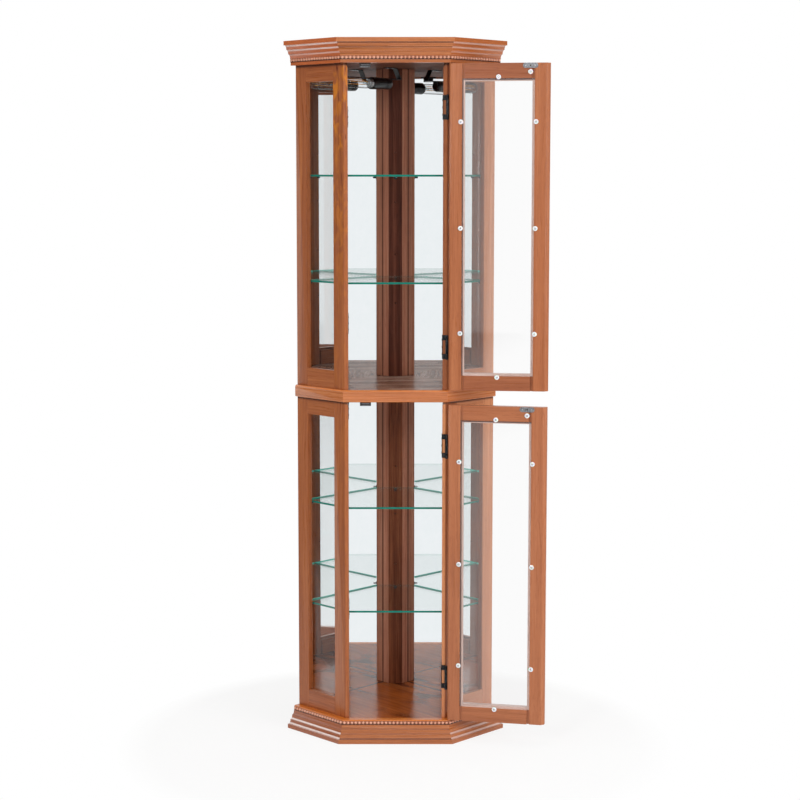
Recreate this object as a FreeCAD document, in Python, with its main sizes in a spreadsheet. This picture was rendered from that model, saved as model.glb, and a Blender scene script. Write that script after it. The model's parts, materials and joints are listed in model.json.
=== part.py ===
import FreeCAD, Part
import math
import os
import re
import Sketcher

# Corner curio cabinet with two glazed doors, two glazed sides, mirrored back and glass shelves.
#
# Frame: the origin is on the floor, on the symmetry plane, below the front face of the carcass.
# +X points to the cabinet's right as seen from the front, +Y to the corner of the room, +Z up.
# The two backs stand against walls that meet at a right angle at (0, corner_y). Most plan
# outlines are written in wall coordinates (a, b): a is the distance from the wall on the other
# side of the cabinet, and b is the distance from the wall that the piece belongs to. So one
# outline serves for the left and for the right.
# The doors stand open, turned about their hinge pins from the closed position.

doc = FreeCAD.newDocument("corner_curio_cabinet")
sheet = doc.addObject("Spreadsheet::Sheet", "Sizes")

SIZES = [
    # overall
    ("total_height", 1800, "floor to top of crown"),
    ("wall_run", 363, "length of each back, corner to side panel"),
    ("side_depth", 179, "depth of each side panel, wall to front corner"),
    ("board", 18, "thickness of floor and top boards"),
    ("waist_board", 27, "thickness of the board between the compartments"),
    ("waist_top", 915, "floor of the upper compartment"),
    # mouldings
    ("crown_height", 61, "height of the crown moulding"),
    ("crown_lap", 4, "height by which the crown covers the side frames"),
    ("crown_band", 17, "flat band of the crown that carries the beads"),
    ("base_height", 57, "height of the base moulding and top of the floor board"),
    ("base_band", 13, "flat band of the base that carries the beads"),
    ("base_ledge", 12, "ledge of the base moulding under the floor board"),
    ("moulding_reach", 41, "overhang of crown and base"),
    ("band_reach", 17, "overhang of their flat bands"),
    ("fascia", 11, "height of their widest faces"),
    ("soffit", 5, "step below the crown's fascia"),
    ("cove_sag", 1.4, "depth of the hollows between the steps"),
    ("quirk", 2, "small step between two coves"),
    ("bead_pitch", 9.5, "distance between two beads"),
    ("bead_height", 9.2, "height of the bead strip"),
    ("bead_reach", 5.4, "how far the beads stand out of the band"),
    ("bead_ribbon", 1.2, "thickness of the strip between two beads"),
    ("waist_height", 31, "height of the waist moulding"),
    ("waist_reach", 8, "overhang of the waist moulding"),
    ("waist_ease", 2, "flats beside the waist's rounded edge"),
    ("overshoot", 1, "how far a cutting shape reaches past what it cuts"),
    # side frames
    ("frame_thickness", 20, "thickness of posts, stiles and rails of the sides"),
    ("stile_width", 39, "width of the side stiles"),
    ("rail_width", 47, "width of the side rails"),
    ("front_strip", 10, "width of the posts' faces beside the door opening"),
    ("strip_relief", 14, "height of the slant at the top of the posts' strips"),
    ("glazing_lip", 6, "width of the rebate that holds a pane"),
    ("side_pane_setback", 11, "depth of the side panes behind the outer faces"),
    ("side_pane", 3, "thickness of the side panes"),
    # back
    ("back_panel", 5, "thickness of the back panels"),
    ("panel_rebate", 10, "how far the back panels reach behind the side frames"),
    ("mirror_glass", 3, "thickness of the mirrors"),
    ("corner_post", 57, "size of the corner post along each wall"),
    ("corner_post_flat", 37, "width of the corner post's front face"),
    # shelves
    ("shelf_glass", 5, "thickness of the glass shelves"),
    ("shelf_gap", 1.5, "gap round a shelf"),
    ("shelf_front", 20, "setback of the shelves' front edge"),
    ("upper_shelf_rise", 268.5, "underside of the first shelf above the upper floor"),
    ("lower_shelf_rise", 274, "underside of the first shelf above the lower floor"),
    ("shelf_pitch", 272.5, "distance between the two shelves of a compartment"),
    ("pin_pitch", 66, "distance between two pin holes"),
    ("pin_radius", 2.5, "radius of a shelf pin"),
    ("pin_reach", 9, "length of a shelf pin outside its post"),
    ("pin_depth", 8, "length of a shelf pin inside its post"),
    ("post_pin_inset", 22, "pin to the front edge of the post's inner face"),
    ("stile_pin_inset", 20, "pin to the mirror on the rear stiles"),
    # doors
    ("door_thickness", 19, "thickness of the door frames"),
    ("door_gap", 2, "gap between a closed door and the posts"),
    ("door_reveal", 4, "width of the post left uncovered beside a closed door"),
    ("door_clearance", 2, "gap above and below a door"),
    ("lower_door_head_gap", 5, "gap above the lower door"),
    ("hinge_offset", 4.5, "hinge pin to the edge of the door"),
    ("hinge_stile", 39, "width of a door's hinge stile"),
    ("free_stile", 45, "width of a door's free stile"),
    ("door_rail", 44, "width of the door rails"),
    ("door_pane", 4, "thickness of a door pane"),
    ("edge_round", 5, "radius of the back edge beside the hinges"),
    ("pull_width", 9.5, "width of the finger pull along the back of the free stile"),
    ("pull_depth", 8, "depth of the finger pull"),
    ("upper_door_angle", 173, "degrees by which the upper door stands open"),
    ("lower_door_angle", 168.5, "degrees by which the lower door stands open"),
    # hardware
    ("hinge_height", 61, "height of a hinge"),
    ("hinge_inset", 108, "hinge centre to the end of the door"),
    ("hinge_knuckle", 34, "height of the door leaf's knuckle"),
    ("knuckle_radius", 4, "outer radius of the knuckles"),
    ("hinge_pin_radius", 2, "radius of a hinge pin"),
    ("hinge_pin_play", 0.05, "clearance of the pin in the door leaf"),
    ("knuckle_gap", 0.4, "gap between two knuckles"),
    ("knuckle_web", 4.4, "thickness of the webs behind the knuckles"),
    ("leaf", 1.5, "thickness of the hinge leaves"),
    ("door_leaf_width", 11.4, "width of the door leaf on the edge of the door"),
    ("jamb_leaf_width", 16, "width of the frame leaf on the jamb"),
    ("clip_radius", 6.2, "radius of a glass clip"),
    ("clip_height", 3, "height of a glass clip"),
    ("clip_offset", 3.6, "clip centre to the edge of the pane"),
    ("clip_inset", 145, "outer clips of a stile to the ends of the door"),
    ("bumper_drop", 22, "bumper centre below the top of the door"),
    ("strike_length", 38, "length of a strike plate"),
    ("strike_height", 13, "height of a strike plate"),
    ("strike_thickness", 1.2, "thickness of a strike plate"),
    ("strike_inset", 49.7, "strike plate centre to the free edge of the door"),
    ("strike_hole", 2.2, "radius of the screw hole in a strike plate"),
    ("catch_length", 28, "length of a magnetic catch"),
    ("catch_ears", 43, "length of a catch over its screw ears"),
    ("catch_height", 14, "height of a catch"),
    ("catch_depth", 15, "depth of a catch"),
    ("catch_ear", 3.5, "thickness of a catch's screw ears"),
    ("catch_ear_depth", 9, "depth of a catch's screw ears"),
    ("catch_setback", 0.3, "case of a catch behind the front of the carcass"),
    ("magnet_height", 8, "height of a catch's magnet"),
    ("magnet_length", 22, "length of a catch's magnet"),
    ("catch_gap", 0.4, "gap between a magnet and the strike plate"),
    # lamp
    ("lamp_wall_gap", 72, "lamp axis to the left wall"),
    ("lamp_drop", 43, "lamp axis below the top board"),
    ("lamp_start", 94, "closed end of the socket to the right wall"),
    ("socket_length", 70, "length of the lamp socket"),
    ("socket_radius", 16, "radius of the lamp socket"),
    ("socket_round", 4, "rounding of the socket's closed end"),
    ("socket_bore", 12.5, "radius of the socket's mouth"),
    ("socket_bore_depth", 30, "depth of the socket's mouth"),
    ("bulb_play", 0.3, "gap round the bulb's cap"),
    ("bulb_radius", 14.5, "radius of the bulb"),
    ("bulb_length", 96, "length of the bulb outside the socket"),
    ("bulb_shoulder", 7, "length of the bulb's taper to its cap"),
    ("bulb_tip", 9, "rounding of the bulb's tip"),
    ("bracket_width", 16, "width of the lamp bracket's strap"),
    ("bracket_plate", 2, "thickness of the strap"),
    ("bracket_front", 15, "reach of the strap's foot over the socket"),
    ("bracket_back", 21, "reach of the foot behind the socket"),
    ("bracket_lean", 17, "how far the strap's leg leans back"),
    ("bracket_rise", 12, "height of the leg's lower end above the lamp axis"),
    ("bracket_low", 8, "how far the strap's tab reaches below the lamp axis"),
]

for row, (alias, value, meaning) in enumerate(SIZES, start=1):
    sheet.set(f"A{row}", meaning)
    sheet.set(f"B{row}", str(value))
    sheet.setAlias(f"B{row}", alias)
doc.recompute()

# What follows from the sizes, as expressions that every sub-part shares.
DERIVED = {
    "front_half": "((wall_run - side_depth) / sqrt(2))",
    "corner_y": "((wall_run + side_depth) / sqrt(2))",
    "crown_bottom": "(total_height - crown_height)",
    "ceiling": "(crown_bottom + crown_lap)",
    "waist_bottom": "(waist_top - waist_height)",
    "lower_ceiling": "(waist_top - waist_board)",
    "upper_height": "(ceiling - waist_top)",
    "lower_height": "(lower_ceiling - base_height)",
    "side_inner": "(wall_run - frame_thickness)",
    "mirror_face": "(back_panel + mirror_glass)",
    "opening_half": "(front_half - front_strip)",
    "door_width": "(2 * (front_half - door_reveal))",
    "pivot_x": "(front_half - door_reveal + hinge_offset)",
    "pivot_y": "(-door_gap - door_thickness / 2)",
    "upper_door_bottom": "(waist_top + door_clearance)",
    "upper_door_height": "(crown_bottom - door_clearance - upper_door_bottom)",
    "lower_door_bottom": "(base_height + door_clearance)",
    "lower_door_height": "(waist_bottom - lower_door_head_gap - lower_door_bottom)",
    "post_flat_edge": "(corner_post - corner_post_flat / sqrt(2))",
    "strike_offset": "(hinge_offset + door_width - strike_inset)",
}
ALIASES = "|".join(alias for alias, value, meaning in SIZES)
NAMES = "|".join(DERIVED)
ROOM_SIDES = ("left", "right")
COMPARTMENTS = {"lower": "base_height", "upper": "waist_top"}
UP = FreeCAD.Vector(0, 0, 1)
PEG_FACETS = 8
CLIP_FACETS = 12
BEAD_FACETS = 4
MITRE = math.tan(math.radians(22.5))


def bound(text):
    """The expression with its derived names written out and its sizes read from the sheet."""
    while re.search(rf"\b({NAMES})\b", text):
        text = re.sub(rf"\b({NAMES})\b", lambda found: DERIVED[found.group(1)], text)
    return re.sub(rf"\b({ALIASES})\b", r"Sizes.\1", text)


def number(text):
    """The value of an expression of sizes."""
    return float(sheet.evalExpression(bound(text)))


def plan(side, a, b):
    """The point at wall coordinates (a, b), as expressions for X and Y."""
    across = f"(({b}) - ({a})) / sqrt(2)" if side == "left" else f"(({a}) - ({b})) / sqrt(2)"
    return across, f"corner_y - (({a}) + ({b})) / sqrt(2)"


def plan_box(side, a_range, b_range):
    """A rectangle in wall coordinates."""
    (a_low, a_high), (b_low, b_high) = a_range, b_range
    corners = ((a_low, b_low), (a_high, b_low), (a_high, b_high), (a_low, b_high))
    return [plan(side, a, b) for a, b in corners]


def place(item, x="0", y="0", z="0", turn=None):
    """Puts an object at an expression for each coordinate, turned about +Z."""
    angle = number(turn) if turn else 0
    item.Placement = FreeCAD.Placement(
        FreeCAD.Vector(number(x), number(y), number(z)), FreeCAD.Rotation(UP, angle)
    )
    for axis, text in (("x", x), ("y", y), ("z", z)):
        item.setExpression(f"Placement.Base.{axis}", bound(text))
    if turn:
        item.setExpression("Placement.Rotation.Angle", bound(turn))
    return item


def outline(body, corners, level):
    """A closed sketch in the body's XY plane, every corner tied to the sheet."""
    sketch = body.newObject("Sketcher::SketchObject", f"{body.Name}_outline")
    base = [plane for plane in body.Origin.OriginFeatures if plane.Role == "XY_Plane"][0]
    sketch.AttachmentSupport = [(base, "")]
    sketch.MapMode = "FlatFace"
    sketch.AttachmentOffset = FreeCAD.Placement(
        FreeCAD.Vector(0, 0, number(level)), FreeCAD.Rotation()
    )
    sketch.setExpression("AttachmentOffset.Base.z", bound(level))
    points = [FreeCAD.Vector(number(x), number(y), 0) for x, y in corners]
    count = len(points)
    for i in range(count):
        sketch.addGeometry(Part.LineSegment(points[i], points[(i + 1) % count]))
    for i in range(count):
        sketch.addConstraint(Sketcher.Constraint("Coincident", i, 2, (i + 1) % count, 1))
    for i, (x, y) in enumerate(corners):
        for kind, text in (("DistanceX", x), ("DistanceY", y)):
            tie = sketch.addConstraint(Sketcher.Constraint(kind, -1, 1, i, 1, number(text)))
            sketch.setExpression(f"Constraints[{tie}]", bound(text))
    return sketch


def prism(label, corners, height, level="0"):
    """A body whose plan outline is padded upwards."""
    body = doc.addObject("PartDesign::Body", label)
    body.Label = label
    pad_on(body, corners, height, level)
    return body


def pad_on(body, corners, height, level="0"):
    """Adds one more padded layer to a body."""
    pad = body.newObject("PartDesign::Pad", f"{body.Name}_pad")
    sketch = outline(body, corners, level)
    pad.Profile = sketch
    pad.Length = number(height)
    pad.setExpression("Length", bound(height))
    body.Tip = pad
    return pad


def round_upright_edge(body, x, y, radius):
    """Fillets the vertical edge of a body that stands at (x, y) in its own frame."""
    doc.recompute()
    at_x, at_y = number(x), number(y)
    solid = body.Tip
    names = [
        f"Edge{i}"
        for i, edge in enumerate(solid.Shape.Edges, start=1)
        if all(math.hypot(v.X - at_x, v.Y - at_y) < 1e-4 for v in edge.Vertexes)
    ]
    fillet = body.newObject("PartDesign::Fillet", f"{body.Name}_fillet")
    fillet.Base = (solid, names)
    fillet.Radius = number(radius)
    fillet.setExpression("Radius", bound(radius))
    body.Tip = fillet


def peg(name, radius, length, at, towards, facets=PEG_FACETS):
    """A faceted round bar from a point, given as expressions, in a horizontal direction."""
    item = doc.addObject("Part::Prism", name)
    item.Polygon = facets
    item.Circumradius = number(radius)
    item.Height = number(length)
    item.setExpression("Circumradius", bound(radius))
    item.setExpression("Height", bound(length))
    place(item, *at)
    item.Placement.Rotation = FreeCAD.Rotation(UP, FreeCAD.Vector(*towards))
    return item


def group(label, members):
    """Several separate solids in one sub-part."""
    compound = doc.addObject("Part::Compound", label)
    compound.Label = label
    compound.Links = members
    return compound


def cut_away(label, body, tools):
    """A body with its pin holes and other cuts made."""
    body.Label = f"{label}_blank"
    cut = doc.addObject("Part::Cut", label)
    cut.Label = label
    cut.Base = body
    cut.Tool = group(f"{label}_cuts", tools)
    return cut


def free_shape(label, shape, x="0", y="0", z="0", turn=None):
    """A sub-part whose shape is computed, placed after its shape is set."""
    item = doc.addObject("Part::Feature", label)
    item.Label = label
    item.Shape = shape
    return place(item, x, y, z, turn)


# --- boards -------------------------------------------------------------------------------


def carcass_outline():
    """The pentagon of the carcass: two walls, two sides and the front."""
    return [
        plan("left", "0", "0"),
        plan("left", "wall_run", "0"),
        plan("left", "wall_run", "side_depth"),
        plan("right", "wall_run", "side_depth"),
        plan("right", "wall_run", "0"),
    ]


def make_boards():
    """Floor board, waist board and top board."""
    floor_board = place(prism("floor_board", carcass_outline(), "board"), z="base_height - board")
    waist = place(prism("waist_board", carcass_outline(), "waist_board"), z="lower_ceiling")
    top_board = place(prism("top_board", carcass_outline(), "board"), z="ceiling")
    return [floor_board, waist, top_board]


def make_base_back_rails():
    """Two rails on the floor that carry the floor board along the walls."""
    height = "base_height - board"
    reach = ("0", "wall_run - base_ledge")
    left = prism("base_rail_left", plan_box("left", reach, ("0", "frame_thickness")), height)
    reach = ("frame_thickness", "wall_run - base_ledge")
    right = prism("base_rail_right", plan_box("right", reach, ("0", "frame_thickness")), height)
    return [group("base_back_rails", [left, right])]


# --- mouldings ----------------------------------------------------------------------------


def stepped_edges(height, band):
    """The stepped line of crown and base, from the flat band to the fascia.

    Each point is (overhang, rise), and the three hollows between them are arcs.
    """
    reach, start = number("moulding_reach"), number("band_reach")
    fascia, soffit, quirk = number("fascia"), number("soffit"), number("quirk")
    coves = 3
    cove_rise = (height - band - fascia) / coves
    cove_reach = (reach - start - soffit - coves * quirk) / coves
    edges = []
    here = (start, 0)

    def line_to(target):
        edges.append(("line", here, target))
        return target

    here = line_to((start, band))
    for _ in range(coves):
        here = line_to((here[0] + quirk, here[1]))
        top = (here[0] + cove_reach, here[1] + cove_rise)
        sag = number("cove_sag") / math.hypot(cove_reach, cove_rise)
        middle = (
            (here[0] + top[0]) / 2 - sag * cove_rise,
            (here[1] + top[1]) / 2 + sag * cove_reach,
        )
        edges.append(("arc", here, middle, top))
        here = top
    here = line_to((reach, here[1]))
    here = line_to((reach, height))
    return edges


def section_face(edges, level):
    """A face in the YZ plane from edges of (overhang, rise) points. Overhang is towards -Y."""

    def point(pair):
        return FreeCAD.Vector(0, -pair[0], level(pair[1]))

    curves = []
    for edge in edges:
        if edge[0] == "line":
            curves.append(Part.LineSegment(point(edge[1]), point(edge[2])).toShape())
        else:
            curves.append(Part.Arc(point(edge[1]), point(edge[2]), point(edge[3])).toShape())
    return Part.Face(Part.Wire(Part.__sortEdges__(curves)))


def stick(face, length, inner, outer, height, mitred_end):
    """A moulding along +X from a mitred start at x = 0. Its other end is mitred or square."""
    over = number("overshoot")
    inner, outer = inner - over, outer + over
    spare = 2 * outer
    bar = face.extrude(FreeCAD.Vector(length + 2 * spare, 0, 0))
    bar.translate(FreeCAD.Vector(-spare, 0, 0))
    end = MITRE if mitred_end else 0
    corners = [
        (-inner * MITRE, -inner),
        (length + inner * end, -inner),
        (length + outer * end, -outer),
        (-outer * MITRE, -outer),
    ]
    points = [FreeCAD.Vector(x, y, -over) for x, y in corners]
    mould = Part.Face(Part.makePolygon(points + points[:1])).extrude(UP * (height + 2 * over))
    return bar.common(mould).Solids[0]


def around_front(front, side):
    """A front stick and a side stick, with the side stick's mirror image, as one compound."""
    half = number("front_half")
    front.translate(FreeCAD.Vector(-half, 0, 0))
    turn = FreeCAD.Rotation(UP, 45)
    side.Placement = FreeCAD.Placement(FreeCAD.Vector(half, 0, 0), turn)
    mirrored = side.mirror(FreeCAD.Vector(), FreeCAD.Vector(1, 0, 0))
    return Part.makeCompound([front, side, mirrored])


def moulding(label, face, inner, outer, height, z):
    """Three sticks round the front and the sides, mitred at the two front corners."""
    front = stick(face, 2 * number("front_half"), inner, outer, height, True)
    side = stick(face, number("side_depth"), inner, outer, height, False)
    return free_shape(label, around_front(front, side), z=z)


def make_crown_moulding():
    """The crown: a flat band, three hollows and a fascia that steps outwards."""
    height, reach = number("crown_height"), number("moulding_reach")
    edges = stepped_edges(height, number("crown_band"))
    edges += [
        ("line", (reach, height), (0, height)),
        ("line", (0, height), (0, 0)),
        ("line", (0, 0), (number("band_reach"), 0)),
    ]
    face = section_face(edges, lambda rise: rise)
    return moulding("crown_moulding", face, 0, reach, height, "crown_bottom")


def make_base_moulding():
    """The base: the crown's line upside down, with a ledge that carries the floor board."""
    height, reach = number("base_height"), number("moulding_reach")
    ledge, board = number("base_ledge"), number("board")
    edges = stepped_edges(height, number("base_band"))
    edges += [
        ("line", (reach, height), (-ledge, height)),
        ("line", (-ledge, height), (-ledge, board)),
        ("line", (-ledge, board), (0, board)),
        ("line", (0, board), (0, 0)),
        ("line", (0, 0), (number("band_reach"), 0)),
    ]
    face = section_face(edges, lambda rise: height - rise)
    return moulding("base_moulding", face, -ledge, reach, height, "0")


def make_waist_moulding():
    """The waist: a strip with a rounded upper edge."""
    height, reach = number("waist_height"), number("waist_reach")
    ease = number("waist_ease")
    nose = reach - ease
    middle = math.sqrt(0.5) * nose
    edges = [
        ("line", (0, 0), (nose, 0)),
        ("line", (nose, 0), (reach, ease)),
        ("line", (reach, ease), (reach, height - nose)),
        ("arc", (reach, height - nose), (ease + middle, height - nose + middle), (ease, height)),
        ("line", (ease, height), (0, height)),
        ("line", (0, height), (0, 0)),
    ]
    face = section_face(edges, lambda rise: rise)
    return moulding("waist_moulding", face, 0, reach, height, "waist_bottom")


def bead_strip(length, mitred_end):
    """A ribbon along +X with a row of half-round beads, on the flat band of a moulding."""
    band, ribbon, reach = number("band_reach"), number("bead_ribbon"), number("bead_reach")
    start = -band * MITRE
    end = length + (band * MITRE if mitred_end else 0)
    count = int((end - start) / number("bead_pitch"))
    pitch = (end - start) / count

    def point(x, stand):
        return FreeCAD.Vector(x, -band - stand, 0)

    corners = [point(start, 0)]
    for i in range(count):
        middle = start + (i + 0.5) * pitch
        for step in range(BEAD_FACETS):
            angle = math.pi * step / BEAD_FACETS
            stand = ribbon + (reach - ribbon) * math.sin(angle)
            corners.append(point(middle - pitch / 2 * math.cos(angle), stand))
    corners += [point(end, ribbon), point(end, 0)]
    face = Part.Face(Part.makePolygon(corners + corners[:1]))
    return face.extrude(UP * number("bead_height"))


def make_bead_trim(label, z):
    """Bead strips on the front and the sides."""
    front = bead_strip(2 * number("front_half"), True)
    side = bead_strip(number("side_depth"), False)
    return free_shape(label, around_front(front, side), z=z)


def make_mouldings():
    """Crown, waist and base with their bead strips."""
    return [
        make_crown_moulding(),
        make_bead_trim("crown_bead_trim", "crown_bottom + crown_band - bead_height"),
        make_waist_moulding(),
        make_base_moulding(),
        make_bead_trim("base_bead_trim", "base_height - base_band"),
    ]


# --- side frames --------------------------------------------------------------------------


def pin_levels(level):
    """Heights of the pins under the two shelves of a compartment."""
    rise = f"{level}_shelf_rise - pin_radius"
    return [rise, f"{rise} + shelf_pitch"]


def pin_sites():
    """Where the pins of one shelf stand, as (post, plan point of its face, direction out)."""
    slant = math.sqrt(0.5)
    front_b = "side_depth - post_pin_inset"
    rear_b = "mirror_face + stile_pin_inset"
    sites = []
    for side, sign in (("left", 1), ("right", -1)):
        inward = (sign * slant, slant, 0)
        sites.append((f"{side}_front_post", plan(side, "side_inner", front_b), inward))
        sites.append((f"{side}_rear_stile", plan(side, "side_inner", rear_b), inward))
    flat = ("0", "corner_y - (corner_post + post_flat_edge) / sqrt(2)")
    sites.append(("corner_post", flat, (0, -1, 0)))
    return sites


def pin_holes(level, post):
    """The holes of one post: three at each shelf, one pitch apart."""
    face, inward = [(face, inward) for name, face, inward in pin_sites() if name == post][0]
    back = FreeCAD.Vector(*inward) * -1
    holes = []
    for rise in pin_levels(level):
        for step in (-1, 0, 1):
            at = (face[0], face[1], f"{COMPARTMENTS[level]} + {rise} + {step} * pin_pitch")
            name = f"{level}_{post}_hole"
            holes.append(peg(name, "pin_radius", "pin_depth", at, tuple(back)))
    return holes


def make_front_post(level, side):
    """The post beside the door opening: outer face, strip towards the door, jamb and rebate."""
    strip = "front_strip / sqrt(2)"
    pane_a = "wall_run - side_pane_setback"
    inner_b = "side_depth - stile_width"
    corners = [
        plan(side, "wall_run", "side_depth"),
        plan(side, "wall_run", inner_b),
        plan(side, pane_a, inner_b),
        plan(side, pane_a, f"{inner_b} + glazing_lip"),
        plan(side, "side_inner", f"{inner_b} + glazing_lip"),
        plan(side, "side_inner", f"side_depth - frame_thickness + 2 * {strip}"),
        plan(side, f"wall_run - {strip}", f"side_depth + {strip}"),
    ]
    label = f"{level}_{side}_front_post"
    body = place(prism(f"{label}_blank", corners, f"{level}_height"), z=COMPARTMENTS[level])
    cuts = pin_holes(level, f"{side}_front_post") + [strip_slant(level, side)]
    return cut_away(label, body, cuts)


def strip_slant(level, side):
    """The wedge that slants the top of a post's strip down to the door opening."""
    wedge = doc.addObject("Part::Wedge", f"{level}_{side}_strip_slant")
    toe = "front_strip" if side == "left" else "0"
    reaches = {
        "Xmin": "0",
        "Xmax": "front_strip",
        "X2min": toe,
        "X2max": toe,
        "Ymin": "0",
        "Ymax": "strip_relief",
        "Zmin": "-overshoot",
        "Zmax": "frame_thickness",
        "Z2min": "-overshoot",
        "Z2max": "frame_thickness",
    }
    for reach, text in reaches.items():
        setattr(wedge, reach, number(text))
        wedge.setExpression(reach, bound(text))
    start = "-front_half" if side == "left" else "opening_half"
    place(wedge, x=start, z=f"{COMPARTMENTS[level]} + {level}_height")
    wedge.Placement.Rotation = FreeCAD.Rotation(FreeCAD.Vector(1, 0, 0), -90)
    return wedge


def make_rear_stile(level, side):
    """The stile at the wall, rebated for the pane and for the back panel."""
    pane_a = "wall_run - side_pane_setback"
    corners = [
        plan(side, "wall_run", "0"),
        plan(side, "wall_run", "stile_width"),
        plan(side, pane_a, "stile_width"),
        plan(side, pane_a, "stile_width - glazing_lip"),
        plan(side, "side_inner", "stile_width - glazing_lip"),
        plan(side, "side_inner", "back_panel"),
        plan(side, "wall_run - panel_rebate", "back_panel"),
        plan(side, "wall_run - panel_rebate", "0"),
    ]
    label = f"{level}_{side}_rear_stile"
    body = place(prism(f"{label}_blank", corners, f"{level}_height"), z=COMPARTMENTS[level])
    return cut_away(label, body, pin_holes(level, f"{side}_rear_stile"))


def make_side_rails(level, side):
    """Bottom and top rail between the stiles, each rebated for the pane."""
    along = ("stile_width", "side_depth - stile_width")
    full = plan_box(side, ("side_inner", "wall_run"), along)
    lip = plan_box(side, ("wall_run - side_pane_setback", "wall_run"), along)
    label = f"{level}_{side}_side_rails"
    low = prism(f"{label}_bottom", full, "rail_width - glazing_lip")
    pad_on(low, lip, "glazing_lip", "rail_width - glazing_lip")
    high = prism(f"{label}_top", lip, "glazing_lip")
    pad_on(high, full, "rail_width - glazing_lip", "glazing_lip")
    place(low, z=COMPARTMENTS[level])
    place(high, z=f"{COMPARTMENTS[level]} + {level}_height - rail_width")
    return group(label, [low, high])


def make_side_pane(level, side):
    """The side glass, seated in the rebates of stiles and rails."""
    face = "wall_run - side_pane_setback"
    along = ("stile_width - glazing_lip", "side_depth - stile_width + glazing_lip")
    corners = plan_box(side, (f"{face} - side_pane", face), along)
    height = f"{level}_height - 2 * (rail_width - glazing_lip)"
    body = prism(f"{level}_{side}_side_pane", corners, height)
    return place(body, z=f"{COMPARTMENTS[level]} + rail_width - glazing_lip")


def make_side_frame(level, side):
    """One glazed side of one compartment."""
    return [
        make_front_post(level, side),
        make_rear_stile(level, side),
        make_side_rails(level, side),
        make_side_pane(level, side),
    ]


# --- back ---------------------------------------------------------------------------------


def make_back(level):
    """Back panels, the mirrors on them and the corner post of one compartment."""
    base, height = COMPARTMENTS[level], f"{level}_height"
    parts = []
    for side in ROOM_SIDES:
        start = "0" if side == "left" else "back_panel"
        panel = plan_box(side, (start, "wall_run - panel_rebate"), ("0", "back_panel"))
        glass = plan_box(side, ("corner_post", "side_inner"), ("back_panel", "mirror_face"))
        parts.append(place(prism(f"{level}_{side}_back_panel", panel, height), z=base))
        parts.append(place(prism(f"{level}_{side}_mirror", glass, height), z=base))
    corners = [
        plan("left", "back_panel", "back_panel"),
        plan("left", "corner_post", "back_panel"),
        plan("left", "corner_post", "post_flat_edge"),
        plan("right", "corner_post", "post_flat_edge"),
        plan("right", "corner_post", "back_panel"),
    ]
    label = f"{level}_corner_post"
    body = place(prism(f"{label}_blank", corners, height), z=base)
    parts.append(cut_away(label, body, pin_holes(level, "corner_post")))
    return parts


# --- shelves ------------------------------------------------------------------------------


def shelf_outline():
    """A glass shelf: front edge, two sides, two mirrors and the cut corner at the post."""
    wall = "mirror_face + shelf_gap"
    side_a = "side_inner - shelf_gap"
    cut_a = f"corner_post + post_flat_edge + 2 * shelf_gap - ({wall})"
    front_x = "front_half + shelf_front - (frame_thickness + shelf_gap) * sqrt(2)"
    return [
        (f"-({front_x})", "shelf_front"),
        (front_x, "shelf_front"),
        plan("right", side_a, wall),
        plan("right", cut_a, wall),
        plan("left", cut_a, wall),
        plan("left", side_a, wall),
    ]


def make_shelves():
    """Two glass shelves in each compartment, and the pins that carry them."""
    parts, pins = [], []
    for level, base in COMPARTMENTS.items():
        for name, rise in zip(("low", "high"), pin_levels(level)):
            shelf = prism(f"{level}_shelf_{name}", shelf_outline(), "shelf_glass")
            parts.append(place(shelf, z=f"{base} + {rise} + pin_radius"))
            for post, face, inward in pin_sites():
                back = FreeCAD.Vector(*inward) * number("-pin_depth")
                at = (f"{face[0]} + {back.x}", f"{face[1]} + {back.y}", f"{base} + {rise}")
                pin = peg("shelf_pin", "pin_radius", "pin_depth + pin_reach", at, inward)
                pins.append(pin)
    parts.append(group("shelf_pins", pins))
    return parts


# --- doors --------------------------------------------------------------------------------


def door_stile_outline(outer, width, inwards):
    """Plan of a door stile from its outer edge, rebated at the back for the pane."""
    front, back = "-door_thickness / 2", "door_thickness / 2"
    inner = f"{outer} + {inwards} * {width}"
    rebate = f"{outer} + {inwards} * ({width} - glazing_lip)"
    return [
        (outer, front),
        (inner, front),
        (inner, f"{back} - door_pane"),
        (rebate, f"{back} - door_pane"),
        (rebate, back),
        (outer, back),
    ]


def make_door(level):
    """One door in a frame of its own, with its origin on the hinge pin at the door's foot."""
    where = dict(
        x="pivot_x", y="pivot_y", z=f"{level}_door_bottom", turn=f"{level}_door_angle"
    )
    height = f"{level}_door_height"
    hinge_edge, free_edge = "-hinge_offset", "-hinge_offset - door_width"
    back = "door_thickness / 2"

    hinge_stile = prism(
        f"{level}_door_hinge_stile", door_stile_outline(hinge_edge, "hinge_stile", -1), height
    )
    round_upright_edge(hinge_stile, hinge_edge, back, "edge_round")
    place(hinge_stile, **where)

    corners = door_stile_outline(free_edge, "free_stile", 1)
    corners[-1:] = [
        (f"{free_edge} + pull_width", back),
        (free_edge, f"{back} - pull_depth"),
    ]
    free_stile = place(prism(f"{level}_door_free_stile", corners, height), **where)
    return [
        hinge_stile,
        free_stile,
        make_door_rails(level, where),
        make_door_pane(level, where),
        make_door_clips(level, where),
        make_strike_plate(level, where),
        make_door_leaves(level, where),
    ]


def door_opening():
    """X of the two edges of the rails, between the stiles."""
    return "-hinge_offset - door_width + free_stile", "-hinge_offset - hinge_stile"


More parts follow.
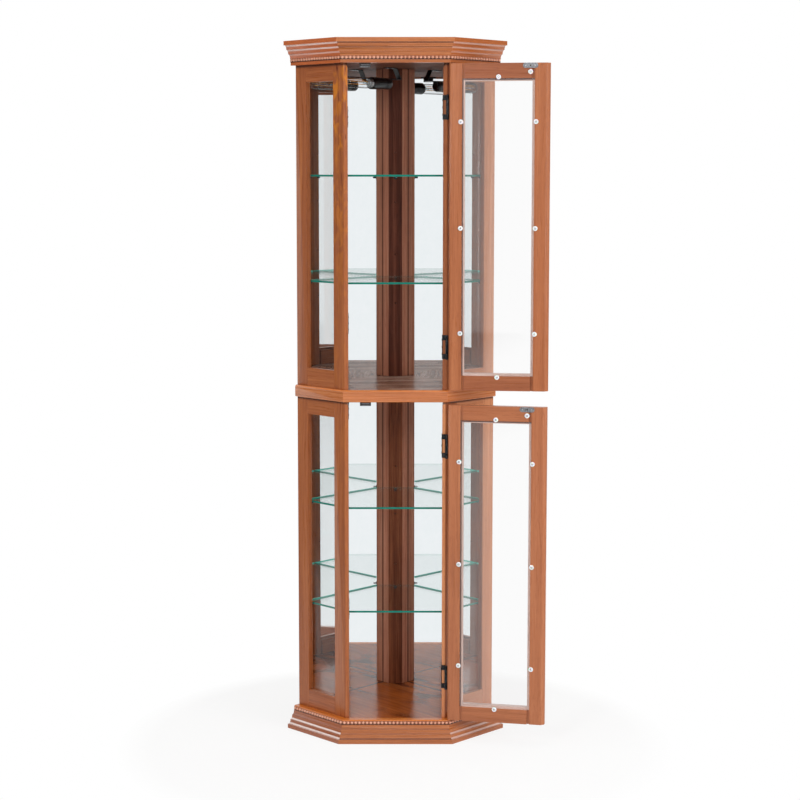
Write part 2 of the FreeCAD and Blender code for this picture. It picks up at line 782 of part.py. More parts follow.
def make_door_rails(level, where):
    """Bottom and top rail, each rebated at the back for the pane."""
    x_low, x_high = door_opening()
    front, back = "-door_thickness / 2", "door_thickness / 2"
    step = f"{back} - door_pane"
    full = [(x_low, front), (x_high, front), (x_high, back), (x_low, back)]
    lip = [(x_low, front), (x_high, front), (x_high, step), (x_low, step)]
    label = f"{level}_door_rails"
    head = f"{level}_door_height - door_rail"
    low = prism(f"{label}_bottom", full, "door_rail - glazing_lip")
    pad_on(low, lip, "glazing_lip", "door_rail - glazing_lip")
    high = prism(f"{label}_top", lip, "glazing_lip", head)
    pad_on(high, full, "door_rail - glazing_lip", f"{head} + glazing_lip")
    return place(group(label, [low, high]), **where)


def make_door_pane(level, where):
    """The door glass, flush with the back of the frame."""
    x_low = f"{door_opening()[0]} - glazing_lip"
    x_high = f"{door_opening()[1]} + glazing_lip"
    back = "door_thickness / 2"
    step = f"{back} - door_pane"
    corners = [(x_low, step), (x_high, step), (x_high, back), (x_low, back)]
    height = f"{level}_door_height - 2 * (door_rail - glazing_lip)"
    body = prism(f"{level}_door_pane", corners, height, "door_rail - glazing_lip")
    return place(body, **where)


def clip_places(level):
    """Centres of the glass clips and of the bumper, as (x, z) expressions in the door's frame."""
    x_low = f"{door_opening()[0]} - glazing_lip - clip_offset"
    x_high = f"{door_opening()[1]} + glazing_lip + clip_offset"
    height = f"{level}_door_height"
    z_low = "door_rail - glazing_lip - clip_offset"
    rises = ("clip_inset", f"{height} / 2", f"{height} - clip_inset")
    spots = [(x, z) for x in (x_low, x_high) for z in rises]
    middle = f"(({x_low}) + ({x_high})) / 2"
    spots += [(middle, z_low), (middle, f"{height} - ({z_low})")]
    spots.append(("-strike_offset", f"{height} - bumper_drop"))
    return spots


def make_door_clips(level, where):
    """Round clips that hold the pane, and one bumper of the same shape below the strike plate."""
    label = f"{level}_door_clips"
    outwards = (0, 1, 0)
    buttons = []
    for x, z in clip_places(level):
        at = (x, "door_thickness / 2", z)
        button = peg(f"{label}_button", "clip_radius", "clip_height", at, outwards, CLIP_FACETS)
        buttons.append(button)
    return place(group(label, buttons), **where)


def make_strike_plate(level, where):
    """The steel plate that meets the magnetic catch: round at both ends, with a screw hole."""
    thick, back = number("strike_thickness"), number("door_thickness / 2")
    radius = number("strike_height / 2")
    half = number("strike_length / 2") - radius
    outwards = FreeCAD.Vector(0, 1, 0)
    middle = FreeCAD.Vector(number("-strike_offset"), back, number(f"{level}_door_height") - radius)

    def disc(size, x=0):
        return Part.makeCylinder(size, thick, middle + FreeCAD.Vector(x, 0, 0), outwards)

    corner = middle + FreeCAD.Vector(-half, 0, -radius)
    bar = Part.makeBox(2 * half, thick, 2 * radius, corner)
    plate = bar.fuse([disc(radius, -half), disc(radius, half)]).removeSplitter()
    plate = plate.cut(disc(number("strike_hole")))
    return free_shape(f"{level}_door_strike_plate", plate, **where)


# --- hinges -------------------------------------------------------------------------------


def hinge_levels(level):
    """Heights of the hinge centres above the foot of a door."""
    inset = number("hinge_inset")
    return inset, number(f"{level}_door_height") - inset


def make_door_leaves(level, where):
    """Door leaves: the middle knuckle, a web and a plate let on to the edge of the door."""
    radius, tall = number("knuckle_radius"), number("hinge_knuckle")
    offset, web, leaf = number("hinge_offset"), number("knuckle_web"), number("leaf")
    bore, wide = number("hinge_pin_radius + hinge_pin_play"), number("door_leaf_width")
    leaves = []
    for z in hinge_levels(level):
        foot = FreeCAD.Vector(0, 0, z - tall / 2)
        knuckle = Part.makeCylinder(radius, tall, foot)
        neck = Part.makeBox(offset, web, tall, foot + FreeCAD.Vector(-offset, -web / 2, 0))
        plate = Part.makeBox(leaf, wide, tall, foot + FreeCAD.Vector(-offset, -wide / 2, 0))
        solid = knuckle.fuse([neck, plate]).removeSplitter()
        leaves.append(solid.cut(Part.makeCylinder(bore, tall, foot)))
    return free_shape(f"{level}_door_hinge_leaves", Part.makeCompound(leaves), **where)


def frame_leaf(z):
    """One frame leaf: a plate on the jamb, two arms over the post and two end knuckles."""
    tall, middle, gap = number("hinge_height"), number("hinge_knuckle"), number("knuckle_gap")
    leaf, radius, web = number("leaf"), number("knuckle_radius"), number("knuckle_web")
    x, y = number("pivot_x"), number("pivot_y")
    start, deep = number("opening_half - leaf"), number("jamb_leaf_width")
    arm = (tall - middle) / 2 - gap
    low = z - tall / 2
    solid = Part.makeBox(leaf, deep, tall, FreeCAD.Vector(start, 0, low))
    for foot in (low, low + tall - arm):
        across = Part.makeBox(x + web / 2 - start, leaf, arm, FreeCAD.Vector(start, -leaf, foot))
        forward = Part.makeBox(web, -y, arm, FreeCAD.Vector(x - web / 2, y, foot))
        knuckle = Part.makeCylinder(radius, arm, FreeCAD.Vector(x, y, foot))
        solid = solid.fuse([across, forward, knuckle])
    bore = Part.makeCylinder(number("hinge_pin_radius"), tall, FreeCAD.Vector(x, y, low))
    return solid.removeSplitter().cut(bore)


def make_frame_hinges():
    """The frame leaves and the pins of the four hinges."""
    leaves, pins = [], []
    tall = number("hinge_height")
    for level in COMPARTMENTS:
        for rise in hinge_levels(level):
            z = number(f"{level}_door_bottom") + rise
            leaves.append(frame_leaf(z))
            foot = FreeCAD.Vector(number("pivot_x"), number("pivot_y"), z - tall / 2)
            pins.append(Part.makeCylinder(number("hinge_pin_radius"), tall, foot))
    return [
        free_shape("hinge_frame_leaves", Part.makeCompound(leaves)),
        free_shape("hinge_pins", Part.makeCompound(pins)),
    ]


# --- catches and lamp ---------------------------------------------------------------------


def make_catches():
    """A magnetic catch under the ceiling of each compartment, opposite the strike plate."""
    x = number("pivot_x - strike_offset")
    back = number("catch_setback + catch_depth")
    magnet_front = number("strike_thickness - door_gap + catch_gap")
    catches = []
    for top in (number("lower_ceiling"), number("ceiling")):
        foot = top - number("catch_height")
        case = block(x, "catch_length", number("catch_setback"), back, foot, top)
        magnet_top = foot + number("magnet_height")
        magnet = block(x, "magnet_length", magnet_front, back, foot, magnet_top)
        ear_front = number("catch_setback + (catch_depth - catch_ear_depth) / 2")
        ear_back = ear_front + number("catch_ear_depth")
        ears = block(x, "catch_ears", ear_front, ear_back, top - number("catch_ear"), top)
        catches.append(case.fuse([magnet, ears]).removeSplitter())
    return free_shape("magnetic_catches", Part.makeCompound(catches))


def block(x, length, front, back, low, high):
    """A box centred on x, with its length as an expression."""
    long = number(length)
    corner = FreeCAD.Vector(x - long / 2, front, low)
    return Part.makeBox(long, back - front, high - low, corner)


def turned(points):
    """A solid turned about its own X axis from (x, radius) points."""
    corners = [FreeCAD.Vector(x, radius, 0) for x, radius in points]
    edges = Part.makePolygon(corners + corners[:1]).Edges
    face = Part.Face(Part.Wire(edges))
    return face.revolve(FreeCAD.Vector(), FreeCAD.Vector(1, 0, 0), 360)


def make_lamp():
    """Bracket, socket and tubular bulb under the top board, parallel to the left wall."""
    length, depth = number("socket_length"), number("socket_bore_depth")
    x, y = plan("left", "lamp_start", "lamp_wall_gap")
    where = dict(x=x, y=y, z="ceiling - lamp_drop", turn="225")
    return [
        free_shape("lamp_socket", socket(length, depth), **where),
        free_shape("lamp_bulb", bulb(length, depth), **where),
        free_shape("lamp_bracket", lamp_bracket(), **where),
    ]


def socket(length, depth):
    """The lamp socket: a cup whose closed end is rounded over."""
    radius, bore, ease = number("socket_radius"), number("socket_bore"), number("socket_round")
    return turned(
        [
            (0, 0),
            (0, radius - ease),
            (ease, radius),
            (length, radius),
            (length, bore),
            (length - depth, bore),
            (length - depth, 0),
        ]
    )


def bulb(mouth, depth):
    """A tubular bulb: its cap in the socket, a shoulder, the tube and a rounded tip."""
    cap, radius = number("socket_bore - bulb_play"), number("bulb_radius")
    tip, ease = mouth + number("bulb_length"), number("bulb_tip")
    return turned(
        [
            (tip, 0),
            (mouth - depth, 0),
            (mouth - depth, cap),
            (mouth, cap),
            (mouth + number("bulb_shoulder"), radius),
            (tip - ease, radius),
            (tip, radius - ease),
        ]
    )


def lamp_bracket():
    """A bent steel strap: foot under the board, leg, arm and a tab behind the socket."""
    width, plate = number("bracket_width"), number("bracket_plate")
    drop, rise = number("lamp_drop"), number("bracket_rise")
    back = number("bracket_back")
    bends = [
        (number("bracket_front"), drop),
        (-back, drop),
        (-back - number("bracket_lean"), rise),
        (-plate, rise),
        (-plate, -number("bracket_low")),
    ]
    line = Part.makePolygon([FreeCAD.Vector(x, -width / 2, z) for x, z in bends])
    side = line.makeOffset2D(plate, 2, True, True)
    return side.extrude(FreeCAD.Vector(0, width, 0))


# --- the cabinet --------------------------------------------------------------------------


def make_cabinet():
    """Every sub-part of the cabinet."""
    parts = make_boards() + make_base_back_rails() + make_mouldings()
    for level in COMPARTMENTS:
        for side in ROOM_SIDES:
            parts += make_side_frame(level, side)
        parts += make_back(level)
    parts += make_shelves()
    for level in COMPARTMENTS:
        parts += make_door(level)
    parts += make_frame_hinges()
    parts.append(make_catches())
    parts += make_lamp()
    return parts


def check(parts):
    """Stops at any object that failed and at any sub-part without a sound shape."""
    for item in doc.Objects:
        if {"Invalid", "Error"} & set(item.State):
            raise RuntimeError(f"{item.Label} failed: {item.State}")
    for item in parts:
        if item.Shape.isNull() or not item.Shape.isValid() or not item.Shape.Solids:
            raise RuntimeError(f"{item.Label} has no sound solid")
    labels = [item.Label for item in parts]
    if len(set(labels)) != len(labels):
        raise RuntimeError("two sub-parts share a label")


cabinet = make_cabinet()
doc.recompute()
check(cabinet)
os.makedirs("parts", exist_ok=True)
for sub_part in cabinet:
    sub_part.Shape.exportStep(f"parts/{sub_part.Label}.step")
print(f"{len(cabinet)} sub-parts")
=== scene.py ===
import json
import math
from itertools import product

import bmesh
import bpy
import numpy as np
from mathutils import Matrix, Vector


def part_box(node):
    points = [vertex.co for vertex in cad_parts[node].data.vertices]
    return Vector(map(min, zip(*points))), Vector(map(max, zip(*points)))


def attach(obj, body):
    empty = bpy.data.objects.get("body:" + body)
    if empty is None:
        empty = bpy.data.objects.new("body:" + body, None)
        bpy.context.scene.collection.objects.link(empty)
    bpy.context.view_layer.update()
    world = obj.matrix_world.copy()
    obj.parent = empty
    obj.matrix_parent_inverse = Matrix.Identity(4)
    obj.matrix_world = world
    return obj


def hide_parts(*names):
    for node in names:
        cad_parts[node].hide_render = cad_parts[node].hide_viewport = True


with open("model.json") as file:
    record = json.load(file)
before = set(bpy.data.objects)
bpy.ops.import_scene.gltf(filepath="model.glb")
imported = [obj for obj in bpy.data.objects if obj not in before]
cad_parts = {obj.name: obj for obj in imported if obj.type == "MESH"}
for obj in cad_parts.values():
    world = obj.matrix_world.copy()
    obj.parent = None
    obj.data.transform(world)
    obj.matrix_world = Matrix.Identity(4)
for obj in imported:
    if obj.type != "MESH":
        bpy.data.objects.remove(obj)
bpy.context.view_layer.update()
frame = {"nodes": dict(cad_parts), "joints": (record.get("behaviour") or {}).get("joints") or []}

# The dressed corner curio cabinet: stained wood, mirrors, panes, glass shelves and hardware.
# Everything is in metres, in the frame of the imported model.

NODES = frame["nodes"]
MM = 0.001
RIGHT = Vector((1, 0, 0))
BACKWARD = Vector((0, 1, 0))
UP = Vector((0, 0, 1))
LEVELS = ("lower", "upper")
SIDES = ("left", "right")
SLANT = math.sqrt(0.5)
MITRE = math.tan(math.radians(22.5))
TOUCH = 0.01 * MM  # points closer than this are taken for one
EDGE = 0.7 * MM  # how far the edges of wood are rounded


def srgb(*display):
    """A colour written in 0-255 display values, as Blender's linear values."""
    return tuple((c / 255) ** 2.2 for c in display) + (1.0,)


# --- what the frame says --------------------------


def points_of(node):
    """The corners of a CAD node."""
    return np.array([v.co for v in NODES[node].data.vertices], float)


def solids_of(node):
    """The corners of each separate solid of a CAD node, lowest solid first."""
    mesh = NODES[node].data
    corner = {}
    parent = []
    for v in mesh.vertices:
        key = tuple(round(c / TOUCH) for c in v.co)
        parent.append(corner.setdefault(key, v.index))

    def root(i):
        while parent[i] != i:
            parent[i] = parent[parent[i]]
            i = parent[i]
        return i

    for a, b in (edge.vertices for edge in mesh.edges):
        parent[root(a)] = root(b)
    groups = {}
    for v in mesh.vertices:
        groups.setdefault(root(v.index), []).append(v.co)
    solids = [np.array(group, float) for group in groups.values()]
    return sorted(solids, key=lambda points: tuple(points.mean(0).round(4)[::-1]))


def reach(points, direction):
    """Lowest and highest value of some points along a direction."""
    along = points @ np.array(direction, float)
    return along.min(), along.max()


def middle(points, direction):
    """Half-way between the lowest and the highest value along a direction."""
    return sum(reach(points, direction)) / 2


def radius_of(points):
    """Half the height of some points: the radius of what is round and lies level."""
    low, high = reach(points, UP)
    return (high - low) / 2


def end_of(points, direction):
    """Those of some points that lie farthest along a direction."""
    along = points @ np.array(direction, float)
    return points[along > along.max() - 0.05 * MM]


def door_frame(level):
    """The direction from the pin to the free edge, and the one that the door's back faces."""
    joint = [j for j in frame["joints"] if j["child"] == f"{level}_door"][0]
    angle = math.radians(-joint["range_deg"][0])
    out = Vector((-math.cos(angle), -math.sin(angle), 0))
    back = Vector((-math.sin(angle), math.cos(angle), 0))
    return out, back


def mirror_plane(level):
    """How far behind the origin the planes of the mirrors' front faces cross."""
    return min(abs(p[0]) + p[1] for p in points_of(f"{level}_left_mirror"))


FRONT_HALF = max(p[0] for p in points_of("top_board") if p[1] < MM)  # of the front's width


# --- building pieces ------------------------------


def add_piece(name, fill, slot, material, replaces=(), smooth_angle=40, body="cabinet"):
    """A new piece from a function that fills a bmesh, riding on a body."""
    bm = bmesh.new()
    fill(bm)
    bmesh.ops.recalc_face_normals(bm, faces=bm.faces)
    mesh = bpy.data.meshes.new(name)
    bm.to_mesh(mesh)
    bm.free()
    mesh.shade_smooth()
    mesh.set_sharp_from_angle(angle=math.radians(smooth_angle))
    mesh.materials.append(material)
    piece = bpy.data.objects.new(name, mesh)
    bpy.context.scene.collection.objects.link(piece)
    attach(piece, body)
    if replaces:
        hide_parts(*replaces)
    return piece


def frame_at(origin, axis):
    """A matrix whose Z axis points along an axis."""
    turn = Vector(axis).to_track_quat("Z", "Y").to_matrix().to_4x4()
    return Matrix.Translation(origin) @ turn


def block(bm, spots):
    """A box from its corners: low and high along one direction, then the next, then the third."""
    a, b, c, d, e, f, g, h = [bm.verts.new(spot) for spot in spots]
    sides = ((a, b, d, c), (e, g, h, f), (a, e, f, b), (c, d, h, g), (b, f, h, d), (a, c, g, e))
    return [bm.faces.new(side) for side in sides]


def ring_of(bm, place, radius, height, segments):
    """Corners on a circle round the Z axis of a matrix, or the one that it shrinks to."""
    if radius < 1e-9:
        return [bm.verts.new(place @ Vector((0, 0, height)))]
    angles = [2 * math.pi * i / segments for i in range(segments)]
    spots = [Vector((radius * math.cos(a), radius * math.sin(a), height)) for a in angles]
    return [bm.verts.new(place @ spot) for spot in spots]


def join_rings(bm, low, high):
    """Faces between two rings of corners, one of which may be a single corner."""
    count = max(len(low), len(high))
    for i in range(count):
        j = (i + 1) % count
        corners = [low[i % len(low)], low[j % len(low)], high[j % len(high)], high[i % len(high)]]
        corners = list(dict.fromkeys(corners))
        if len(corners) > 2:
            bm.faces.new(corners)


def lathe(bm, profile, place, segments):
    """Turns (radius, height) points about the Z axis of a matrix, and gives back the last ring."""
    rings = [ring_of(bm, place, radius, height, segments) for radius, height in profile]
    for low, high in zip(rings, rings[1:]):
        join_rings(bm, low, high)
    return rings[-1]


def dome(radius, height, steps):
    """A profile of (radius, height) points from a rim to the crown of a dome."""
    angles = [math.pi / 2 * i / steps for i in range(steps)]
    return [(radius * math.cos(angle), height * math.sin(angle)) for angle in angles] + [(0, height)]


def screw_head(bm, place, radius, height, spin):
    """A domed screw head with a cross recess, on the Z axis of a matrix."""
    arm, width, depth = radius * 0.62, radius * 0.17, height * 0.6
    turn = place @ Matrix.Rotation(spin, 4, "Z")
    profile = [(radius, 0), (radius, height * 0.25), (radius * 0.9, height * 0.7)]
    head = lathe(bm, profile + [(radius * 0.72, height)], turn, 24)
    cross = []
    for quarter in range(4):
        step = Matrix.Rotation(quarter * math.pi / 2, 3, "Z")
        cross += [step @ Vector((x, y, 0)) for x, y in ((arm, -width), (arm, width), (width, width))]
    rim = [bm.verts.new(turn @ Vector((p.x, p.y, height))) for p in cross]
    floor = [bm.verts.new(turn @ Vector((p.x, p.y, height - depth))) for p in cross]
    join_rings(bm, rim, floor)
    bm.faces.new(floor)
    pairs = [pair for ring in (head, rim) for pair in zip(ring, ring[1:] + ring[:1])]
    bmesh.ops.triangle_fill(bm, edges=[bm.edges.get(pair) for pair in pairs], use_beauty=True)


def dress(node, material, edge=0.0):
    """Gives a CAD node its material and, for solid stuff, rounded edges that catch the light."""
    piece = NODES[node]
    piece.data.materials.clear()
    piece.data.materials.append(material)
    if edge:
        piece.modifiers.new("weld", "WELD").merge_threshold = 0.005 * MM
        bevel = piece.modifiers.new("bevel", "BEVEL")
        bevel.width = edge
        bevel.segments = 2
        bevel.limit_method = "ANGLE"
        bevel.angle_limit = math.radians(35)


# --- shader nodes ---------------------------------


class Value:
    """What a node gives out. The usual signs reckon with it by adding math nodes."""

    def __init__(self, shader, socket):
        self.shader = shader
        self.socket = socket

    def __add__(self, other):
        return self.shader.math("ADD", self, other)

    def __sub__(self, other):
        return self.shader.math("SUBTRACT", self, other)

    def __rsub__(self, other):
        return self.shader.math("SUBTRACT", other, self)

    def __mul__(self, other):
        return self.shader.math("MULTIPLY", self, other)

    def __gt__(self, other):
        return self.shader.math("GREATER_THAN", self, other)

    def __lt__(self, other):
        return self.shader.math("LESS_THAN", self, other)

    def __abs__(self):
        return self.shader.math("ABSOLUTE", self)


class Shader:
    """The node tree of a new material or world, with short calls to add nodes to it."""

    def __init__(self, name, kind="Material", coordinates="Object"):
        owners = bpy.data.worlds if kind == "World" else bpy.data.materials
        self.owner = owners.new(name)
        self.owner.use_nodes = True
        self.tree = self.owner.node_tree
        self.tree.nodes.clear()
        self.output = self.tree.nodes.new(f"ShaderNodeOutput{kind}")
        self.position = self.place = self.add("TexCoord", output=coordinates)

    def node(self, kind, inputs=None, **settings):
        """A node, with plain values or what other nodes give out for its inputs."""
        node = self.tree.nodes.new(f"ShaderNode{kind}")
        for name, value in settings.items():
            setattr(node, name, value)
        for name, value in (inputs or {}).items():
            if isinstance(value, Value):
                self.tree.links.new(value.socket, node.inputs[name])
            else:
                node.inputs[name].default_value = value
        return node

    def add(self, kind, inputs=None, output=0, **settings):
        """What a new node gives out."""
        return Value(self, self.node(kind, inputs, **settings).outputs[output])

    def math(self, operation, first, second=0.0):
        return self.add("Math", {0: first, 1: second}, operation=operation)

    def vector(self, operation, first, second):
        return self.add("VectorMath", {0: first, 1: second}, operation=operation)

    def along(self, direction, vector=None):
        """How far the position, or another vector, lies along a direction."""
        inputs = {0: vector or self.position, 1: direction}
        return self.add("VectorMath", inputs, "Value", operation="DOT_PRODUCT")

    def noise(self, stretch, detail=2.0, roughness=0.5, distortion=0.0, place=None):
        """Noise at a place, after its three coordinates are multiplied by a stretch."""
        place = self.vector("MULTIPLY", place or self.place, stretch)
        inputs = {"Vector": place, "Scale": 1.0, "Detail": detail}
        inputs.update({"Roughness": roughness, "Distortion": distortion})
        return self.add("TexNoise", inputs, "Fac")

    def ramp(self, factor, stops):
        """A colour from (place, colour) stops: the lowest, the highest and any between."""
        node = self.node("ValToRGB", {"Fac": factor})
        elements = node.color_ramp.elements
        for i, (place, colour) in enumerate(stops):
            element = elements[i] if i < 2 else elements.new(place)
            element.position = place
            element.color = colour
        return Value(self, node.outputs["Color"])

    def toned(self, tones, low, high, between=0.49):
        """Dark, middle and light tones of wood by its figure."""
        dark, middle, light = (srgb(*tone) for tone in tones)
        return self.ramp(self.tone, [(low, dark), (high, light), (between, middle)])

    def mix(self, factor, first, second, blend="MIX"):
        return self.add("Mix", {0: factor, 6: first, 7: second}, 2, data_type="RGBA", blend_type=blend)

    def spread(self, factor, low, high, to_low=0.0, to_high=1.0, **settings):
        """A value stretched from one range to another, and held there."""
        inputs = {"Value": factor, "From Min": low, "From Max": high}
        inputs.update({"To Min": to_low, "To Max": to_high})
        return self.add("MapRange", inputs, clamp=True, **settings)

    def facing(self):
        """How far a face turns away from the eye."""
        return self.add("LayerWeight", {"Blend": 0.5}, "Facing")

    def fresnel(self, straight_on):
        """The share of light that each face of a pane throws back, more at a grazing angle."""
        return self.math("POWER", self.facing(), 5.0) * (1 - straight_on) + straight_on

    def bump(self, height, distance, strength=1.0):
        return self.add("Bump", {"Height": height, "Distance": distance, "Strength": strength})

    def show(self, surface):
        """The finished material or world."""
        self.tree.links.new(surface.socket, self.output.inputs["Surface"])
        return self.owner

    def finish(self, inputs):
        """The finished material, as a principled surface."""
        return self.show(self.add("BsdfPrincipled", inputs))


# --- wood -----------------------------------------


def moulding_space(shader):
    """Coordinates along the front stick, and round its mitres along the two side sticks."""
    x, y, z = (shader.along(axis) for axis in (RIGHT, BACKWARD, UP))
    run = (abs(x) + y) * SLANT + shader.math("SIGN", x) * 1.3
    side = shader.add("CombineXYZ", {"X": run, "Y": (abs(x) - y) * SLANT, "Z": z})
    return shader.mix(abs(x) + y * MITRE > FRONT_HALF, shader.position, side)


def grain_space(shader, grain, seed):
    """Coordinates whose X runs along the grain: up, round the mouldings, or along a turned X."""
    shift = (0.37 * seed, 0.53 * seed, 0.71 * seed)
    if grain == "round":
        return shader.vector("ADD", moulding_space(shader), shift)
    rotation = (0, -math.pi / 2, 0) if grain == "up" else (0, 0, grain)
    inputs = {"Vector": shader.position, "Location": shift, "Rotation": rotation}
    return shader.add("Mapping", inputs, vector_type="TEXTURE")


def wood(
    name, tones, colour_layers=(), grain="up", seed=1, roughness=0.3, sway=0.03, calm=0.17, coat=0.12, shine=None,
):
    """Stained and lacquered wood: growth bands, fine streaks and pores.

    tones are dark, middle and light display values, and calm is how far the figure has to stray
    to reach the dark or light one. grain is "up", "round" or the angle of a level stick. The colour
    layers are rows of a function that works the colour over and what it needs beside the colour;
    some of them paint light and shade into the colour.
    """
    shader = Shader(name)
    shader.place = grain_space(shader, grain, seed)
    drift = (shader.noise((2.2, 9.0, 9.0)) - 0.5) * sway
    bent = shader.vector("ADD", shader.place, shader.add("CombineXYZ", {"Y": drift, "Z": drift}))
    broad = shader.noise((1.3, 16.0, 16.0), place=bent)
    bands = shader.noise((2.0, 95.0, 95.0), 3.0, 0.6, place=bent)
    streaks = shader.noise((7.0, 380.0, 380.0), 3.0, 0.65, place=bent)
    inputs = {"Vector": shader.vector("MULTIPLY", bent, (0.05, 1.0, 1.0)), "Scale": 26.0}
    inputs.update({"Distortion": 3.0, "Detail": 2.0, "Detail Scale": 1.5})
    waves = {"wave_type": "RINGS", "rings_direction": "X", "wave_profile": "SAW"}
    rings = shader.add("TexWave", inputs, "Fac", **waves)
    pores = shader.spread(shader.noise((34.0, 1500.0, 1500.0), 1.0, place=bent), 0.60, 0.70)

    shader.tone = broad * 0.24 + bands * 0.34 + streaks * 0.32 + rings * 0.10
    colour = shader.toned(tones, 0.49 - calm, 0.49 + calm)
    for finish, *options in colour_layers:
        colour = finish(shader, colour, *options)
    colour = shader.mix(pores * 0.35, colour, srgb(*tones[0]), "MULTIPLY")
    gloss = shader.spread(streaks, 0.3, 0.7, roughness - 0.05, roughness + 0.09)
    inputs = {"Base Color": colour, "Roughness": gloss, "Coat Weight": coat, "Coat Roughness": 0.12}
    inputs["Specular IOR Level"] = min(0.5, 0.1 + 2 * coat) if shine is None else shine
    inputs["Normal"] = shader.bump(streaks - pores * 0.6, 0.12 * MM, 0.6)
    return shader.finish(inputs)


def dress_wood(node, tones, colour_layers=(), **look):
    """Gives a CAD node a wood of its own and rounded edges."""
    dress(node, wood(f"{node}_wood", tones, colour_layers, **look), EDGE)


def shaded(shader, colour, low, high, at_low, at_high, tint):
    """A colour layer of painted light and shade: a tint whose share changes between two heights."""
    return shader.mix(shader.spread(shader.along(UP), low, high, at_low, at_high), colour, tint)


def flamed(shader, colour, strength, low, high):
    """A finish with a flamed figure and knots, which grow stronger between two heights."""
    share = shader.spread(shader.along(UP), low, high, 0.2 * strength, strength)
    flame = shader.noise((16.0, 42.0, 42.0), 3.0, 0.55, 1.2)
    colour = shader.mix(shader.spread(flame, 0.46, 0.62) * share, colour, srgb(206, 122, 34))
    knots = shader.noise((9.0, 60.0, 60.0), 2.0, 0.5, 2.0)
    return shader.mix(shader.spread(knots, 0.60, 0.70) * share, colour, srgb(96, 40, 20))


def flanked(shader, colour, half_width, seam, tones):
    """A colour layer with lighter tones beyond a distance from the middle plane, painted light as thrown on
    the flanks by the mirrors, and a dark seam.
    """
    across = abs(shader.along(RIGHT))
    # painted light: lighter tones on the flanks beside the mirrors
    colour = shader.mix(across > half_width, colour, shader.toned(tones, 0.32, 0.66))
    rim = shader.spread(across, seam - 2.2 * MM, seam - 1.4 * MM)
    return shader.mix(rim * 0.75, colour, srgb(48, 22, 14))


def rebated(shader, colour, level):
    """A colour layer for the rebate round a door's glass: a pale painted reflection of the glass, and a dark
    painted shadow line along its top and hinge side.
    """
    out, back = door_frame(level)
    pane = points_of(f"{level}_door_pane")
    away, height = shader.along(out), shader.along(UP)
    inside = shader.along(back) > reach(points_of(f"{level}_door_free_stile"), back)[0] + MM
    for value, direction in ((away, out), (height, UP)):
        first, last = reach(pane, direction)
        beyond = abs(value - (first + last) / 2) - (last - first) / 2
        inside = inside * (beyond < 0.3 * MM)
    top, side = reach(pane, UP)[1], reach(pane, out)[0]
    # painted shadow: a dark line along the top and the hinge side of the rebate
    line = shader.spread(height, top - 4.5 * MM, top - 3.5 * MM)
    line = shader.math("MAXIMUM", line, shader.spread(away, side + 3.6 * MM, side + 2.6 * MM))
    # painted reflection of the glass: the pale colour of the rebate, with the painted shadow line
    glass_reflection_and_shadow = shader.mix(line, srgb(222, 190, 178), srgb(84, 46, 34))
    return shader.mix(inside * 0.85, colour, glass_reflection_and_shadow)


def faced(shader, colour, out, face, tones):
    """A colour layer of painted light: the tones of a lighter, lit copy of the wood on an outer face."""
    share = shader.spread(shader.along(out), face - 3.0 * MM, face - 2.0 * MM)
    return shader.mix(share, colour, shader.toned(tones, 0.22, 0.76))


def clouded(shader, colour, dark, strength):
    """A finish with large soft patches of a darker stain."""
    clouds = shader.noise((5.0, 11.0, 11.0), 2.0, 0.5, 0.8)
    return shader.mix(shader.spread(clouds, 0.46, 0.66) * strength, colour, dark)


def seamed(shader, colour, wall):
    """A finish with a dark joint where a board meets the mirrors."""
    away = abs(shader.along(RIGHT)) + shader.along(BACKWARD) - (wall - 2.0 * MM)
    line = shader.spread(abs(away), 2.0 * MM, 3.5 * MM, 0.9, 0.0)
    return shader.mix(line, colour, srgb(26, 10, 8))


def edge_banded(shader, colour, tones):
    """A finish with plainer tones on the upright edges of a board."""
    upright = abs(shader.along(UP, shader.add("NewGeometry", output="Normal"))) < 0.7
    return shader.mix(upright, colour, shader.toned(tones, 0.25, 0.75, 0.5))


def step_levels(node):
    """Heights at which the front stick of a moulding steps out or in by a short way."""
    points = [p for p in points_of(node) if abs(p[0]) + MITRE * p[1] < FRONT_HALF + TOUCH]
    overhangs = {}
    for _, y, z in points:
        overhangs.setdefault(round(z / MM, 1), set()).add(round(y / MM, 1))
    spans = {z: max(found) - min(found) for z, found in overhangs.items()}
    return [z * MM for z, span in sorted(spans.items()) if 1 < span < 8]


def lined(shader, colour, node, below, darkened, highlight_shares, red, pale):
    """A colour layer for a stepped moulding that paints light and shade: painted shade in the hollows
    of its front stick, and on its side sticks a red tint with pale lines of painted highlight.

    below tells on which side of each step the line lies; the two rows of shares tell how strong it is
    at each step, from the lowest up: the painted shade on the front stick, and the painted highlight
    on the left one, whose colours are red and pale. The right stick has half of what the left one has.
    """

    def lines(width, shares):
        whole = 0.0
        for level, share in zip(step_levels(node), shares):
            away = abs(shader.along(UP) - (level - width / 2 if below else level + width / 2))
            line = shader.spread(away, width * 0.35, width * 0.6, share, 0.0)
            whole = shader.math("MAXIMUM", line, whole)
        return whole

    # painted shade: dark lines in the hollows under the steps of the front stick
    stick = shader.mix(lines(2.6 * MM, darkened), colour, srgb(74, 34, 20))
    # painted light on the side sticks: a red tint and pale lines of painted highlight, stronger on the left
    for sign, strength in ((1, 1.0), (-1, 0.5)):
        on_side = shader.along(RIGHT) * sign + FRONT_HALF < shader.along(BACKWARD) * MITRE
        side = shader.mix(0.5 * strength ** 2, colour, red)
        side = shader.mix(lines(3.6 * MM, [share * strength for share in highlight_shares]), side, pale)
        stick = shader.mix(on_side, stick, side)
    return stick


# --- other materials ------------------------------


